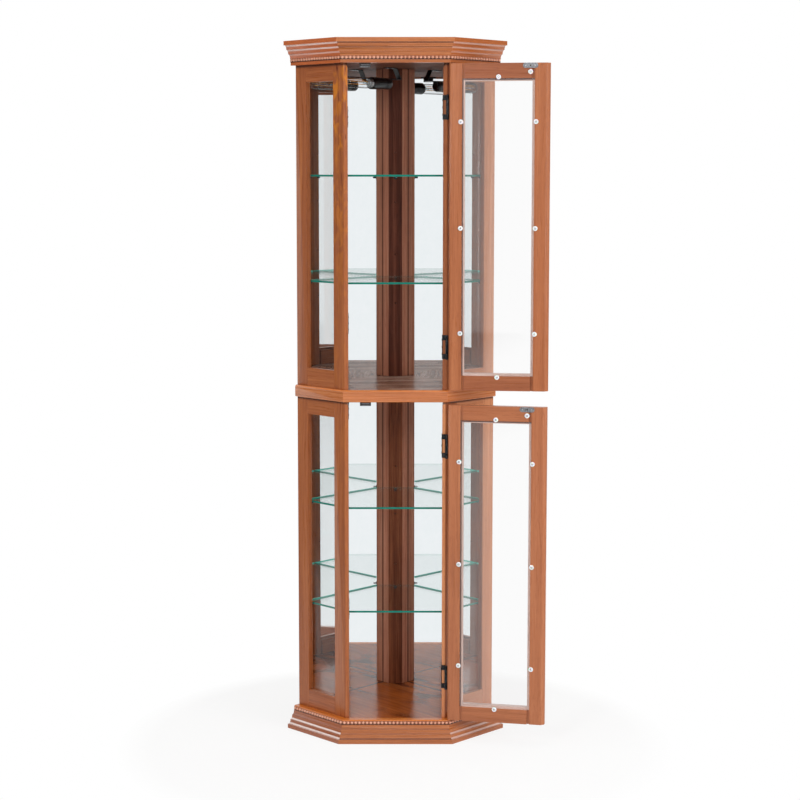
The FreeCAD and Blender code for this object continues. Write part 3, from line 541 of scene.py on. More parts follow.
def hardboard():
    """The pressed board behind the mirrors: fibres in every direction."""
    shader = Shader("back_panel_board")
    fibres = shader.noise((420.0,) * 3, 4.0, 0.7)
    tone = fibres * 0.75 + shader.noise((9.0,) * 3, 3.0) * 0.25
    colour = shader.ramp(tone, [(0.30, srgb(122, 88, 60)), (0.70, srgb(156, 116, 82))])
    inputs = {"Base Color": colour, "Roughness": shader.spread(fibres, 0.3, 0.7, 0.62, 0.8)}
    inputs["Normal"] = shader.bump(fibres, 0.1 * MM, 0.7)
    return shader.finish(inputs)


def clear_glass(name, tint, shine, rim=None):
    """Thin clear glass: what is behind it, under a reflection that grows towards its edges.

    rim is the tint of a tube's walls where they are seen edge-on.
    """
    shader = Shader(name)
    smears = shader.noise((14.0, 14.0, 5.0), 4.0, 0.6)
    glossy = shader.add("BsdfGlossy", {"Roughness": shader.spread(smears, 0.35, 0.75, 0.012, 0.05)})
    mirrored = shader.fresnel(shine)
    if rim:
        tint = shader.ramp(shader.facing(), [(0.45, tint), (0.9, rim)])
        mirrored = shader.math("MINIMUM", mirrored, 0.3)
    through = shader.add("BsdfTransparent", {"Color": tint})
    return shader.show(shader.add("MixShader", {0: mirrored, 1: through, 2: glossy}))


CUT_FROM = 0.2  # distance behind the front beyond which a square edge is the one at the corner post


def shelf_glass():
    """A glass shelf: clear through its faces, green at its ground edges, polished at the post.

    The green edges glow with painted light, and are painted lighter where their normal turns backward.
    """
    shader = Shader("shelf_glass")
    normal = shader.add("NewGeometry", output="Normal")
    x, y, z = (shader.along(axis, normal) for axis in (RIGHT, BACKWARD, UP))
    at_post = (abs(x) < 0.3) * (shader.along(BACKWARD) > CUT_FROM)
    polished = shader.math("MAXIMUM", at_post, y > 0.9)
    on_edge = (abs(z) < 0.7) * (1.0 - polished * 0.85)
    streaks = shader.noise((60.0, 60.0, 900.0), 3.0)
    deep = shader.ramp(streaks, [(0.3, srgb(4, 88, 76)), (0.7, srgb(20, 122, 106))])
    light = shader.ramp(streaks, [(0.3, srgb(36, 170, 148)), (0.7, srgb(92, 206, 186))])
    # painted light: lighter green where the edge's normal turns backward, and a glow of emission on all
    # green edges
    turned = shader.spread(y, -0.8, 0.5)
    inputs = {"Base Color": shader.mix(turned, deep, light), "Emission Strength": 0.35}
    inputs["Emission Color"] = shader.mix(turned, srgb(10, 76, 66), srgb(88, 206, 184))
    inputs.update({"Roughness": 0.22, "Specular IOR Level": 0.25})
    edge = shader.add("BsdfPrincipled", inputs)
    glossy = shader.add("BsdfGlossy", {"Roughness": shader.spread(streaks, 0.3, 0.7, 0.01, 0.03)})
    through = shader.add("BsdfTransparent", {"Color": (0.975, 0.988, 0.984, 1)})
    face = shader.add("MixShader", {0: shader.fresnel(0.05) * 0.5, 1: through, 2: glossy})
    return shader.show(shader.add("MixShader", {0: on_edge, 1: face, 2: edge}))


MIRROR_LEAN = 0.0135  # how far a mirror leans forward, as a share of the distance from the corner
MIRROR_FLAT = 0.140  # distance from the middle plane beyond which a mirror is parallel to its wall


def mirror():
    """Silvered glass with a trace of dust, which throws light back as if it leant near the corner."""
    shader = Shader("mirror_glass")
    dust = shader.noise((25.0,) * 3, 5.0, 0.7)
    colour = shader.ramp(dust, [(0.3, srgb(246, 248, 249)), (0.8, srgb(243, 246, 247))])
    inputs = {"Base Color": colour, "Metallic": 1.0, "Roughness": shader.spread(dust, 0.3, 0.8, 0.0, 0.02)}
    across = shader.math("MINIMUM", abs(shader.along(RIGHT)), MIRROR_FLAT)
    inputs["Normal"] = shader.bump(shader.math("DIVIDE", across, SLANT), MIRROR_LEAN)
    return shader.finish(inputs)


def metal(name, colour, worn, roughness, metallic=1.0):
    """Metal or painted metal with fine scratches and worn patches."""
    shader = Shader(name)
    scratches = shader.noise((900.0, 900.0, 135.0), 3.0)
    tone = (scratches + shader.noise((160.0,) * 3, 3.0)) * 0.5
    inputs = {"Base Color": shader.ramp(tone, [(0.42, colour), (0.66, worn)]), "Metallic": metallic}
    inputs["Roughness"] = shader.spread(scratches, 0.3, 0.7, roughness - 0.08, roughness + 0.12)
    inputs["Normal"] = shader.bump(scratches, 0.02 * MM, 0.5)
    return shader.finish(inputs)


def plastic(name, colour, shade, roughness, glow=0.0):
    """Moulded plastic with a faint orange-peel surface."""
    shader = Shader(name)
    peel = shader.noise((1400.0,) * 3)
    tint = shader.ramp(shader.noise((120.0,) * 3), [(0.35, shade), (0.65, colour)])
    inputs = {"Base Color": tint, "Roughness": shader.spread(peel, 0.3, 0.7, roughness, roughness + 0.08)}
    inputs.update({"Normal": shader.bump(peel, 0.02 * MM, 0.4), "Coat Weight": 0.2})
    if glow:
        inputs.update({"Subsurface Weight": glow, "Subsurface Scale": 2 * MM})
    return shader.finish(inputs)


def filament():
    """Coiled tungsten wire with a brownish film."""
    shader = Shader("filament")
    coils = shader.noise((2600.0,) * 3)
    tint = shader.ramp(coils, [(0.4, srgb(196, 112, 24)), (0.6, srgb(244, 176, 66))])
    inputs = {"Base Color": tint, "Metallic": 0.8, "Roughness": shader.spread(coils, 0.3, 0.7, 0.3, 0.5)}
    return shader.finish(inputs)


# The three tones of each kind of wood in display values: dark, middle, light.
SIDE_TONES = ((118, 58, 30), (160, 90, 50), (188, 116, 68))
# painted light: lighter tones for the outer faces of the right side's stile and rails
LIT_SIDE_FACE_TONES = ((150, 86, 54), (192, 124, 84), (214, 150, 106))
# painted light on the lower right post's jamb face: lighter, more vivid tones
LIT_JAMB_TONES = ((196, 112, 66), (222, 142, 92), (236, 164, 116))
DOOR_TONES = {
    "lower": ((142, 80, 50), (171, 103, 67), (191, 123, 86)),
    "upper": ((137, 74, 41), (165, 96, 58), (185, 116, 76)),
}
RAIL_TONES = {
    "lower": DOOR_TONES["lower"],
    "upper": ((122, 64, 36), (147, 83, 51), (166, 100, 66)),
}
TRIM_TONES = ((140, 74, 34), (172, 98, 50), (194, 120, 70))
WAIST_TONES = ((154, 84, 42), (188, 110, 62), (210, 136, 84))
# painted highlight: beads in paler tones than the moulding's wood; painted shade: the ribbon between them
# darker
LIT_BEAD_TONES = ((196, 128, 100), (220, 158, 130), (236, 184, 158))
SHADED_GAP_TONES = ((122, 70, 52), (160, 100, 76), (186, 124, 98))
BOARD_TONES = ((62, 22, 10), (118, 50, 22), (164, 84, 42))
WAIST_BOARD_TONES = ((72, 42, 30), (142, 102, 84), (214, 186, 172))
BAND_TONES = ((100, 58, 40), (124, 76, 54), (146, 96, 70))
TOP_TONES = ((70, 40, 30), (104, 66, 52), (140, 98, 80))
FLOOR_TONES = ((118, 52, 20), (160, 82, 36), (186, 108, 58))
FLOOR_STAIN = srgb(66, 24, 10)
POST_TONES = {
    "lower": ((66, 34, 20), (114, 64, 43), (150, 92, 62)),
    "upper": ((56, 28, 20), (88, 48, 36), (116, 68, 52)),
}
# painted light on the corner posts' flanks, as thrown by the mirrors beside them: lighter tones
MIRROR_LIT_FLANK_TONES = ((138, 84, 64), (174, 114, 90), (198, 140, 114))

PANE = clear_glass("door_pane_glass", (1.0, 1.0, 1.0, 1), 0.09)
SIDE_PANE = clear_glass("side_pane_glass", (0.998, 1.0, 0.999, 1), 0.035)
SHELF = shelf_glass()
MIRROR = mirror()
HINGE_METAL = metal("hinge_metal", (0.010, 0.011, 0.013, 1), (0.07, 0.072, 0.075, 1), 0.36)
SCREW_METAL = metal("screw_metal", (0.42, 0.43, 0.44, 1), (0.70, 0.71, 0.72, 1), 0.28)
DARK_SCREW = metal("dark_screw_metal", (0.03, 0.03, 0.028, 1), (0.22, 0.2, 0.16, 1), 0.3)
STRIKE_METAL = metal("strike_metal", (0.17, 0.17, 0.18, 1), (0.31, 0.31, 0.325, 1), 0.34)
BLACK_METAL = metal("black_metal", (0.006, 0.006, 0.006, 1), (0.03, 0.03, 0.03, 1), 0.3, 0.2)
BLACK_PLASTIC = plastic("black_plastic", (0.008, 0.008, 0.010, 1), (0.004, 0.004, 0.005, 1), 0.24)
CLIP_PLASTIC = plastic("clip_plastic", srgb(238, 241, 242), srgb(226, 231, 234), 0.2, 0.3)


# --- wood, glass and mirrors ----------------------

SIDE_TURN = {"left": -math.pi / 4, "right": math.pi / 4}  # how the rails of the sides lie
BOARD_TURN = -math.pi / 4  # the grain runs along the right wall, but not on the waist board
LIT_JAMB_STRIP = 5.0 * MM  # depth behind the lower right post's jamb that is painted in lighter tones as painted light


def bright_edge(node):
    """A painted highlight: a warm bright line along the top edge of a moulding."""
    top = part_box(node)[1].z
    return shaded, top - 4.0 * MM, top - 3.0 * MM, 0.0, 0.7, srgb(222, 122, 38)


def dress_mouldings():
    """Crown, waist and base, with the grain round the mitres."""
    crown, waist, base = (f"{name}_moulding" for name in ("crown", "waist", "base"))
    # crown, then base: shares of painted shade under each step of the front stick and of painted highlight
    # along each step of the left stick, from the lowest up, then the red tint and pale highlight colour of
    # the side sticks
    darkened, highlight_shares = (0.0, 0.1, 0.5, 0.85), (0.0, 0.45, 0.85, 0.85)
    crown_lines = (lined, crown, True, darkened, highlight_shares, srgb(196, 90, 44), srgb(220, 196, 188))
    darkened, highlight_shares = (0.6, 0.25, 0.25), (0.9, 0.9, 0.0)
    base_lines = (lined, base, False, darkened, highlight_shares, srgb(146, 72, 42), srgb(244, 226, 220))
    colour_layers = {crown: [crown_lines], waist: [bright_edge(waist)], base: [base_lines, bright_edge(base)]}
    look = {"grain": "round", "roughness": 0.26, "sway": 0.008, "calm": 0.24, "coat": 0.25}
    for seed, (node, worked) in enumerate(colour_layers.items(), start=1):
        tones = WAIST_TONES if node == waist else TRIM_TONES
        dress_wood(node, tones, worked, seed=seed, **look)


def dress_boards():
    """Floor, waist and top boards and the rails below them."""
    dress_wood("base_back_rails", BOARD_TONES, grain=BOARD_TURN, seed=6, roughness=0.4)
    banded = [(edge_banded, BAND_TONES)]
    look = {"grain": 0.0, "roughness": 0.2, "sway": 0.08, "calm": 0.13, "coat": 0.0, "shine": 0.012}
    dress_wood("waist_board", WAIST_BOARD_TONES, banded, seed=5, **look)
    look = {"grain": BOARD_TURN, "roughness": 0.5, "coat": 0.0, "shine": 0.04}
    dress_wood("top_board", TOP_TONES, banded, seed=7, **look)
    darkened = [(clouded, FLOOR_STAIN, 0.85), (seamed, mirror_plane("lower"))]
    look = {"grain": BOARD_TURN, "roughness": 0.16, "calm": 0.2, "coat": 0.1}
    dress_wood("floor_board", FLOOR_TONES, darkened, seed=4, **look)


def dress_sides():
    """Posts, stiles, rails and panes of the sides."""
    outward = Vector((SLANT, -SLANT, 0))
    for (i, level), (k, side) in product(enumerate(LEVELS), enumerate(SIDES)):
        stem = f"{level}_{side}"
        seed = 10 + 3 * i + 7 * k
        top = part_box(f"{stem}_front_post")[1].z
        # painted shadow under the crown and waist mouldings: the top of each side post, stile and rail
        # darkened
        shade_under_moulding = (shaded, top - 12.0 * MM, top - 7.0 * MM, 0.0, 0.85, srgb(52, 24, 14))
        figured = (flamed, 0.85 if stem == "upper_left" else 0.12, top - 0.6, top - 0.1)
        post, frame_stick = [figured, shade_under_moulding], [shade_under_moulding]
        # painted light: the jamb face of the lower right post in lighter, more vivid tones
        if stem == "lower_right":
            jamb = -reach(points_of(f"{stem}_front_post"), RIGHT)[0]
            post.insert(0, (faced, -RIGHT, jamb - LIT_JAMB_STRIP, LIT_JAMB_TONES))
        # painted light: the outer face of the right side's stile and rails in lighter tones
        if side == "right":
            face = reach(points_of(f"{stem}_rear_stile"), outward)[1]
            frame_stick.insert(0, (faced, outward, face, LIT_SIDE_FACE_TONES))
        for part, colour_layers, grain, calm in (
            ("front_post", post, "up", 0.22),
            ("rear_stile", frame_stick, "up", 0.27),
            ("side_rails", frame_stick, SIDE_TURN[side], 0.27),
        ):
            dress_wood(f"{stem}_{part}", SIDE_TONES, colour_layers, grain=grain, seed=seed, calm=calm)
            seed += 1
        dress(f"{stem}_side_pane", SIDE_PANE)


def dress_backs():
    """Back panels, mirrors and corner posts."""
    board = hardboard()
    for i, level in enumerate(LEVELS):
        for side in SIDES:
            dress(f"{level}_{side}_back_panel", board, 0.3 * MM)
            dress(f"{level}_{side}_mirror", MIRROR)
        node = f"{level}_corner_post"
        face = end_of(points_of(node), -BACKWARD)
        half_width = face[:, 0].max()
        seam = (mirror_plane(level) - (face[:, 1].min() - half_width)) / 2
        colour_layers = [(flanked, half_width, seam, MIRROR_LIT_FLANK_TONES)]
        dress_wood(node, POST_TONES[level], colour_layers, seed=30 + i, calm=0.14, coat=0.0)


def dress_shelves():
    """Glass shelves."""
    for level, name in product(LEVELS, ("low", "high")):
        dress(f"{level}_shelf_{name}", SHELF)


def dress_doors():
    """Stiles, rails and panes of the doors."""
    for i, level in enumerate(LEVELS):
        out = door_frame(level)[0]
        for part, tones, grain, seed in (
            ("hinge_stile", DOOR_TONES, "up", 40),
            ("free_stile", DOOR_TONES, "up", 44),
            ("rails", RAIL_TONES, math.atan2(out.y, out.x), 48),
        ):
            look = {"grain": grain, "seed": seed + i, "calm": 0.25}
            dress_wood(f"{level}_door_{part}", tones[level], [(rebated, level)], **look)
        dress(f"{level}_door_pane", PANE)


# --- beads ----------------------------------------

BEAD_PITCH = 9.5 * MM
RIBBON = 1.2 * MM  # thickness of the ribbon that carries the beads


def bead_row(bm, start, along, out, length, stand, tall):
    """A ribbon and a row of round beads from a point at half its height along a direction."""
    count = int(length / BEAD_PITCH)
    pitch = length / count
    bead = min(pitch * 0.36, stand)
    turn = Matrix((along, out, UP)).transposed().to_4x4()
    for i in range(count):
        centre = start + along * (pitch * (i + 0.5)) + out * RIBBON + UP * (tall * 0.09)
        ball = bmesh.ops.create_uvsphere(bm, u_segments=16, v_segments=10, radius=1.0)
        size = Matrix.Diagonal((bead, stand, tall * 0.40, 1))
        bmesh.ops.transform(bm, matrix=Matrix.Translation(centre) @ turn @ size, verts=ball["verts"])
    ends = product((0, length), (0, RIBBON), (-tall / 2, tall / 2))
    for face in block(bm, [start + along * u + out * depth + UP * z for u, depth, z in ends]):
        face.material_index = 1


def sticks_of(node):
    """The front stick and the two side sticks of a moulding: corners, run and outward direction."""
    points = points_of(node)
    beyond = np.abs(points[:, 0]) + MITRE * points[:, 1] - FRONT_HALF
    yield points[beyond < TOUCH], RIGHT, -BACKWARD
    for sign in (-1, 1):
        own = (beyond > -TOUCH) & (points[:, 0] * sign > 0)
        yield points[own], Vector((sign * SLANT, SLANT, 0)), Vector((sign * SLANT, -SLANT, 0))


def make_beads(node, seed):
    """The bead strips of a moulding, as rows of round beads on a ribbon: the beads in paler tones as a
    painted highlight, the ribbon darker as painted shade, darkest along its lower part.
    """
    low, high = (corner.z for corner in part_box(node))

    def fill(bm):
        for points, along, out in sticks_of(node):
            near, far = reach(points, out)
            first, last = reach(end_of(points, -out), along)
            start = along * first + out * near + UP * ((low + high) / 2)
            bead_row(bm, start, along, out, last - first, far - near - RIBBON, high - low)

    # painted highlight: the beads in paler tones than the moulding's wood
    material = wood(f"{node}_wood", LIT_BEAD_TONES, grain="round", seed=seed, roughness=0.2, coat=0.4)
    row = add_piece(f"{node}_beads", fill, "moulding_wood", material, (node,), 60)
    tall = high - low
    # painted shade: the ribbon in darker tones, darkest along its lower part under the beads
    shade_below_beads = [(shaded, low + 0.3 * tall, low + 0.5 * tall, 0.85, 0.0, srgb(46, 22, 16))]
    row.data.materials.append(wood(f"{node}_gap_wood", SHADED_GAP_TONES, shade_below_beads, grain="round", seed=seed + 1))


# --- small hardware -------------------------------


def make_clips(level):
    """Round clips with a screw in each, and the bumper."""
    out, back = door_frame(level)
    places = []
    for points in solids_of(f"{level}_door_clips"):
        near, far = reach(points, back)
        base = out * middle(points, out) + back * near + UP * middle(points, UP)
        places.append((base, radius_of(points), far - near))

    def buttons(bm):
        for base, radius, height in places:
            hole = radius * 0.42
            profile = [(hole, 0), (radius * 0.97, 0), (radius, height * 0.15), (radius, height * 0.45)]
            profile += [(radius * 0.93, height * 0.75), (radius * 0.78, height * 0.94)]
            profile += [(radius * 0.6, height), (hole, height * 0.92), (hole, 0)]
            lathe(bm, profile, frame_at(base, back), 32)

    def screws(bm):
        for i, (base, radius, height) in enumerate(places):
            place = frame_at(base + back * (height * 0.55), back)
            screw_head(bm, place, radius * 0.40, height * 0.4, 0.5 * i)

    name, door = f"{level}_clip", f"{level}_door"
    add_piece(f"{name}_buttons", buttons, "clip_plastic", CLIP_PLASTIC, (f"{door}_clips",), body=door)
    add_piece(f"{name}_screws", screws, "strike_steel", SCREW_METAL, body=door)


def make_strike(level):
    """The strike plate with a dark screw in its hole and two flush steel rivets beside it."""
    node = f"{level}_door_strike_plate"
    dress(node, STRIKE_METAL, 0.4 * MM)
    out, back = door_frame(level)
    points = points_of(node)
    first, last = reach(points, out)
    centre = out * ((first + last) / 2) + back * reach(points, back)[1] + UP * middle(points, UP)

    def screw(bm):
        screw_head(bm, frame_at(centre - back * 1.1 * MM, back), 2.1 * MM, 1.15 * MM, 0.4)

    def rivets(bm):
        for side in (-1, 1):
            at = centre + out * (side * (last - first) * 0.3) - back * 0.2 * MM
            lathe(bm, [(1.9 * MM, 0)] + dome(1.9 * MM, 0.3 * MM, 4), frame_at(at, back), 20)

    add_piece(f"{level}_strike_screw", screw, "strike_steel", DARK_SCREW, body=f"{level}_door")
    add_piece(f"{level}_strike_rivets", rivets, "strike_steel", SCREW_METAL, body=f"{level}_door")


COLLAR_FROM = 8 * MM  # where a pin leaves its post
WIDE_COLLAR = 1.9  # how much wider than its pin a collar on the corner post is


def make_pins():
    """Shelf pins: a round shank with a collar, wide on the corner post, and a domed end."""

    def fill(bm):
        for points in solids_of("shelf_pins"):
            centre = points.mean(0)
            axis = Vector(np.linalg.eigh((points - centre).T @ (points - centre))[1][:, -1])
            on_post = abs(axis.x) < 0.1
            if (axis.y if on_post else axis.x * centre[0]) > 0:
                axis = -axis
            first, last = reach(points, axis)
            length, radius = last - first, radius_of(points)
            collar = radius * (WIDE_COLLAR if on_post else 1.0)
            profile = [(0, 0), (radius * 0.96, 0), (radius * 0.96, COLLAR_FROM)]
            profile += [(collar, COLLAR_FROM), (collar, COLLAR_FROM + MM)]
            profile += [(radius * 0.93, COLLAR_FROM + 1.2 * MM)]
            tip = dome(radius * 0.93, radius * 0.6, 4)
            profile += [(r, length - radius * 0.6 + z) for r, z in tip]
            lathe(bm, profile, frame_at(Vector(centre) - axis * (length / 2), axis), 20)

    add_piece("round_shelf_pins", fill, "pin_metal", BLACK_METAL, ("shelf_pins",))


def dress_hinges():
    """Frame leaves, door leaves, pins and the screws in the jambs."""
    for node in ("hinge_frame_leaves", "hinge_pins", "lower_door_hinge_leaves", "upper_door_hinge_leaves"):
        dress(node, HINGE_METAL, 0.3 * MM)

    def screws(bm):
        for points in solids_of("hinge_frame_leaves"):
            face = end_of(points, -RIGHT)
            low, high = reach(points, UP)
            for i, share in enumerate((0.2, 0.5, 0.8)):
                height = low + share * (high - low)
                spot = Vector((face[:, 0].min() + 0.2 * MM, middle(face, BACKWARD), height))
                screw_head(bm, frame_at(spot, -RIGHT), 3.2 * MM, 1.0 * MM, 0.3 + i)

    def caps(bm):
        for points in solids_of("hinge_pins"):
            low, high = reach(points, UP)
            x, y = points[:, 0].mean(), points[:, 1].mean()
            for z, axis in ((high, UP), (low, -UP)):
                place = frame_at(Vector((x, y, z)) - axis * 0.2 * MM, axis)
                lathe(bm, [(3.0 * MM, 0)] + dome(3.0 * MM, 1.6 * MM, 5), place, 20)

    add_piece("hinge_screws", screws, "hinge_metal", DARK_SCREW)
    add_piece("hinge_pin_caps", caps, "hinge_metal", HINGE_METAL)


def dress_catches():
    """Magnetic catches: black cases, steel pole pieces and the screws in the ears."""
    dress("magnetic_catches", BLACK_PLASTIC, 0.5 * MM)
    cases = solids_of("magnetic_catches")
    thick, ear = 1.2 * MM, 3.5 * MM  # thickness of a pole piece and of the ears

    def poles(bm):
        for points in cases:
            nose = end_of(points, -BACKWARD)
            front = nose[:, 1].min()
            (left, right), (bottom, top) = reach(nose, RIGHT), reach(nose, UP)
            for low in (bottom + thick, top - 2 * thick):
                ends = (left + MM, right - MM), (front - 0.15 * MM, front + MM), (low, low + thick)
                edges = list({edge for face in block(bm, product(*ends)) for edge in face.edges})
                bmesh.ops.bevel(bm, geom=edges, offset=0.1 * MM, segments=1, affect="EDGES")

    def screws(bm):
        for points in cases:
            left, right = reach(end_of(points, UP), RIGHT)
            level = reach(points, UP)[1] - ear + 0.2 * MM
            for i, x in enumerate((left + 4 * MM, right - 4 * MM)):
                spot = Vector((x, middle(points, BACKWARD), level))
                screw_head(bm, frame_at(spot, -UP), 2.6 * MM, 1.1 * MM, 0.7 + i)

    add_piece("catch_poles", poles, "catch_plastic", STRIKE_METAL)
    add_piece("catch_screws", screws, "catch_plastic", SCREW_METAL)


# --- lamp -----------------------------------------

LAMP_AXIS = Vector((-SLANT, -SLANT, 0))
LAMP_SIDE = Vector((SLANT, -SLANT, 0))
SOCKET = points_of("lamp_socket")
SOCKET_END, SOCKET_MOUTH = reach(SOCKET, LAMP_AXIS)
CAP_RADIUS, CAP_TURNS = 12.2, 6  # of the bulb's threaded cap, in millimetres


def lamp_spot(distance, side=0.0, rise=0.0):
    """A spot so many millimetres past the socket's mouth along the lamp, aside and up."""
    along = LAMP_AXIS * (SOCKET_MOUTH + distance * MM)
    across = LAMP_SIDE * (middle(SOCKET, LAMP_SIDE) + side * MM)
    return along + across + UP * (middle(SOCKET, UP) + rise * MM)


def turned(name, profile, segments, slot, material, replaces=(), smooth_angle=40):
    """A piece turned about the lamp from the socket's mouth, with a profile in millimetres."""

    def fill(bm):
        metres = [(radius * MM, height * MM) for radius, height in profile]
        lathe(bm, metres, frame_at(lamp_spot(0), LAMP_AXIS), segments)

    add_piece(name, fill, slot, material, replaces, smooth_angle)


def make_socket():
    """A smooth socket with a rounded end, a groove and a deep bore."""
    radius = radius_of(SOCKET) / MM
    length = (SOCKET_MOUTH - SOCKET_END) / MM
    bore, floor = 12.6, -28
    outline = [(0, 0), (0.70, 0), (0.84, 1.2 / length), (0.92, 3.5 / length), (0.93, 0.30), (0.90, 0.31)]
    outline += [(0.90, 0.34), (0.95, 0.35), (1, 0.9), (1, 1 - 1.5 / length), (0.97, 1)]
    profile = [(share * radius, (along - 1) * length) for share, along in outline]
    profile += [(bore + 0.8, 0), (bore, -0.8), (bore, floor), (0, floor)]
    turned("socket_shell", profile, 48, "socket_plastic", BLACK_PLASTIC, ("lamp_socket",), 35)


def make_bulb():
    """A clear tubular bulb: threaded cap, glass and stem."""
    cap = [(0, -24), (5, -24), (CAP_RADIUS * 0.9, -19)]
    for i in range(CAP_TURNS):
        root, z = CAP_RADIUS * 0.92, 3 * i - 18
        cap += [(root, z), (CAP_RADIUS, z + 0.9), (CAP_RADIUS, z + 1.6), (root, z + 2.5)]
    cap += [(CAP_RADIUS, 0.5), (CAP_RADIUS, 4), (CAP_RADIUS * 0.96, 5), (0, 5)]
    turned("bulb_cap", cap, 40, "strike_steel", SCREW_METAL)

    bulb = points_of("lamp_bulb")
    glass = radius_of(bulb) / MM
    shoulder = (reach(bulb, LAMP_AXIS)[1] - SOCKET_MOUTH) / MM - glass * 0.9
    tube = [(11.4, 4.5), (11.4, 6), (glass * 0.86, 9), (glass * 0.97, 13), (glass, 18)]
    tube += [(radius, shoulder + z) for radius, z in dome(glass, glass * 0.9, 10)]
    wall = clear_glass("bulb_glass", (0.97, 0.975, 0.975, 1), 0.06, (0.18, 0.18, 0.19, 1))
    turned("tubular_bulb", tube, 48, "bulb_glass", wall, ("lamp_bulb",))

    stem = [(0, 5), (6.5, 5), (5.5, 12), (3, 17), (2.2, 24), (2.6, 26), (0, 27)]
    stem_wall = clear_glass("stem_glass", (0.8, 0.85, 0.86, 1), 0.1, (0.3, 0.32, 0.33, 1))
    turned("bulb_stem", stem, 24, "bulb_glass", stem_wall)


def wire(bm, path, thick):
    """A round wire through some spots, with a radius in millimetres."""
    for first, last in zip(path, path[1:]):
        length = (last - first).length
        profile = [(0, 0), (thick * MM, 0), (thick * MM, length), (0, length)]
        lathe(bm, profile, frame_at(first, last - first), 8)


def make_wires():
    """Lead wires, supports and the coiled filament in three rows, and the cement round the stem."""

    def leads(bm):
        for sign, end in ((-1, 40), (1, 82)):
            spots = ((24, 1.5), (34, 6), (end, 8))
            wire(bm, [lamp_spot(distance, sign * side) for distance, side in spots], 0.35)
        for distance in (46, 60, 74):
            wire(bm, [lamp_spot(27), lamp_spot(distance, 0, 5)], 0.2)

    def coils(bm):
        turns, steps, radius = 30, 6, 0.9 * MM
        for rise, side in ((7.5, -2.0), (3.0, 5.0), (-4.0, -4.0)):
            first, last = lamp_spot(14, side, rise), lamp_spot(84, side, rise)
            place = frame_at(first, last - first)
            coil = []
            for i in range(turns * steps + 1):
                angle = 2 * math.pi * i / steps
                z = (last - first).length * i / (turns * steps)
                coil.append(place @ Vector((radius * math.cos(angle), radius * math.sin(angle), z)))
            wire(bm, coil, 0.5)

    add_piece("bulb_wires", leads, "strike_steel", SCREW_METAL)
    add_piece("bulb_filament", coils, "bulb_glass", filament())
    collar = [(0, 5.2), (9.5, 5.2), (10.2, 5.6), (10.2, 6.4), (8.6, 6.8), (0, 7.0)]
    pale = plastic("bulb_cement", srgb(214, 222, 230), srgb(176, 182, 184), 0.25)
    turned("bulb_collar", collar, 32, "bulb_glass", pale)


def dress_bracket():
    """The lamp's bracket and the two screws under its foot."""
    dress("lamp_bracket", BLACK_METAL, 0.4 * MM)
    strap = points_of("lamp_bracket")
    first, last = reach(end_of(strap, UP), LAMP_AXIS)
    level = reach(strap, UP)[1] - 2 * MM

    def screws(bm):
        for i, share in enumerate((0.25, 0.75)):
            spot = LAMP_AXIS * (first + share * (last - first)) + LAMP_SIDE * middle(SOCKET, LAMP_SIDE)
            screw_head(bm, frame_at(spot + UP * level, -UP), 3.2 * MM, 1.3 * MM, 0.6 + i)

    add_piece("bracket_screws", screws, "bracket_metal", SCREW_METAL)


# --- studio ---------------------------------------

WING_DARKNESS = 0.8  # how much darker the far left and right of the studio look in a reflection
WING_START, WING_END = 1.5, 2.6  # where the floor begins and ends to darken on both sides
FLOOR_HALF = 12.0
EYE = (0.0, -4.542, 1.4588)
PITCH = 5.996  # degrees by which the camera looks down
LENS = 80.745
SHIFT = (0.00574, -0.045)


def views(shader):
    """Whether the camera looks, and whether a mirror or glass does."""
    glossy, passing = (shader.add("LightPath", output=f"Is {ray} Ray") for ray in ("Glossy", "Transmission"))
    return shader.add("LightPath", output="Is Camera Ray"), shader.math("MAXIMUM", glossy, passing)


def make_world():
    """A white studio: plain light for surfaces, white where the camera or a mirror looks."""
    world = Shader("studio", "World", "Generated")
    camera, mirrored = views(world)

    def band(axis, *ranges):
        """A value that changes with how far a direction leans along an axis, either way."""
        return world.spread(abs(world.along(axis)), *ranges, interpolation_type="SMOOTHSTEP")

    wing = band(RIGHT, 0.55, 0.85, 0, 1) * band(UP, 0.25, 0.45, WING_DARKNESS, 0)
    lit = world.add("Background", {"Color": (1, 0.99, 0.98, 1), "Strength": 0.45})
    white = world.add("Background", {"Color": (1, 1, 1, 1), "Strength": 1.0 - wing * mirrored})
    share = world.math("MAXIMUM", camera, mirrored)
    bpy.context.scene.world = world.show(world.add("MixShader", {0: share, 1: lit, 2: white}))


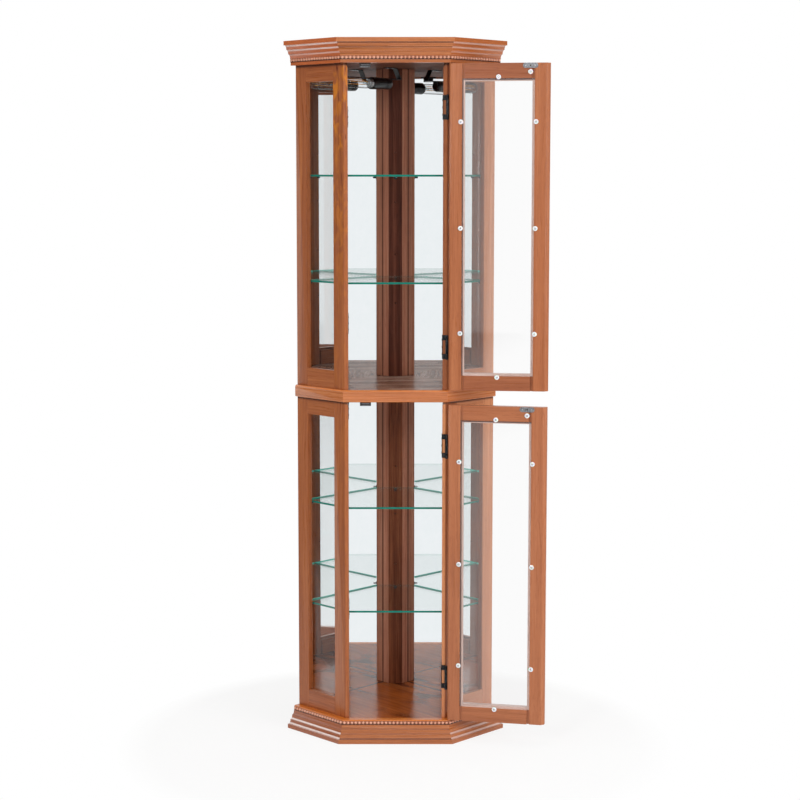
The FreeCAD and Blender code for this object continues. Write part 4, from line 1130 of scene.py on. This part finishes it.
def make_floor():
    """A pale floor that keeps the cabinet's shadow and fades to white away from it."""
    shader = Shader("studio_floor")
    camera, mirrored = views(shader)
    wing = shader.spread(abs(shader.along(RIGHT)), WING_START, WING_END, 0.0, WING_DARKNESS)
    lit = shader.add("BsdfDiffuse", {"Color": (0.97, 0.97, 0.97, 1)})
    white = shader.add("Emission", {"Strength": 1.0 - wing * mirrored})
    distance = shader.add("VectorMath", {0: shader.position}, "Value", operation="LENGTH")
    fade = shader.math("MAXIMUM", shader.spread(distance, 0.26, 0.72), 0.8)
    share = shader.math("MAXIMUM", mirrored, fade * camera)

    mesh = bpy.data.meshes.new("studio_floor")
    corners = [(-1, -1), (1, -1), (1, 1), (-1, 1)]
    mesh.from_pydata([(x * FLOOR_HALF, y * FLOOR_HALF, 0) for x, y in corners], [], [(0, 1, 2, 3)])
    mesh.materials.append(shader.show(shader.add("MixShader", {0: share, 1: lit, 2: white})))
    floor = bpy.data.objects.new("studio_floor", mesh)
    floor.location.z = -0.2 * MM
    bpy.context.scene.collection.objects.link(floor)


def soft_light(name, place, target, size, power, tall=None):
    """A soft light aimed at a point, square unless it has a height of its own."""
    light = bpy.data.lights.new(name, "AREA")
    light.shape = "RECTANGLE"
    light.size = size
    light.size_y = tall or size
    light.energy = power
    lamp = bpy.data.objects.new(name, light)
    lamp.location = place
    direction = Vector(target) - Vector(place)
    lamp.rotation_euler = direction.to_track_quat("-Z", "Y").to_euler()
    bpy.context.scene.collection.objects.link(lamp)
    return lamp


def make_lights():
    """Soft lights in front, above, left and right of the cabinet."""
    soft_light("key_light", (-1.7, -3.6, 2.4), (0, 0, 0.8), 0.9, 46)
    soft_light("fill_light", (2.9, -2.2, 1.5), (0, 0, 0.8), 1.6, 62)
    soft_light("top_light", (0.0, -0.4, 3.8), (0, 0, 0.9), 2.4, 26)
    for name, x in (("left_rim_light", -1.9), ("right_rim_light", 1.9)):
        rim = soft_light(name, (x, 0.9, 0.9), (0, 0, 0.9), 0.8, 4, 1.7)
        rim.visible_camera = False


def make_camera():
    """The photograph's standpoint: an eye at 1.46 m, in front of the cabinet's middle."""
    camera_data = bpy.data.cameras.new("camera")
    camera_data.lens = LENS
    camera_data.shift_x, camera_data.shift_y = SHIFT
    camera_data.clip_start, camera_data.clip_end = 0.05, 100
    camera = bpy.data.objects.new("camera", camera_data)
    camera.location = EYE
    camera.rotation_euler = (math.radians(90 - PITCH), 0, 0)
    bpy.context.scene.collection.objects.link(camera)
    bpy.context.scene.camera = camera


dress_mouldings()
dress_boards()
dress_sides()
dress_backs()
dress_shelves()
dress_doors()
make_beads("crown_bead_trim", 20)
make_beads("base_bead_trim", 22)
for door_level in LEVELS:
    make_clips(door_level)
    make_strike(door_level)
make_pins()
dress_hinges()
dress_catches()
make_socket()
make_bulb()
make_wires()
dress_bracket()
make_world()
make_floor()
make_lights()
make_camera()
bpy.context.scene.view_settings.view_transform = "Standard"
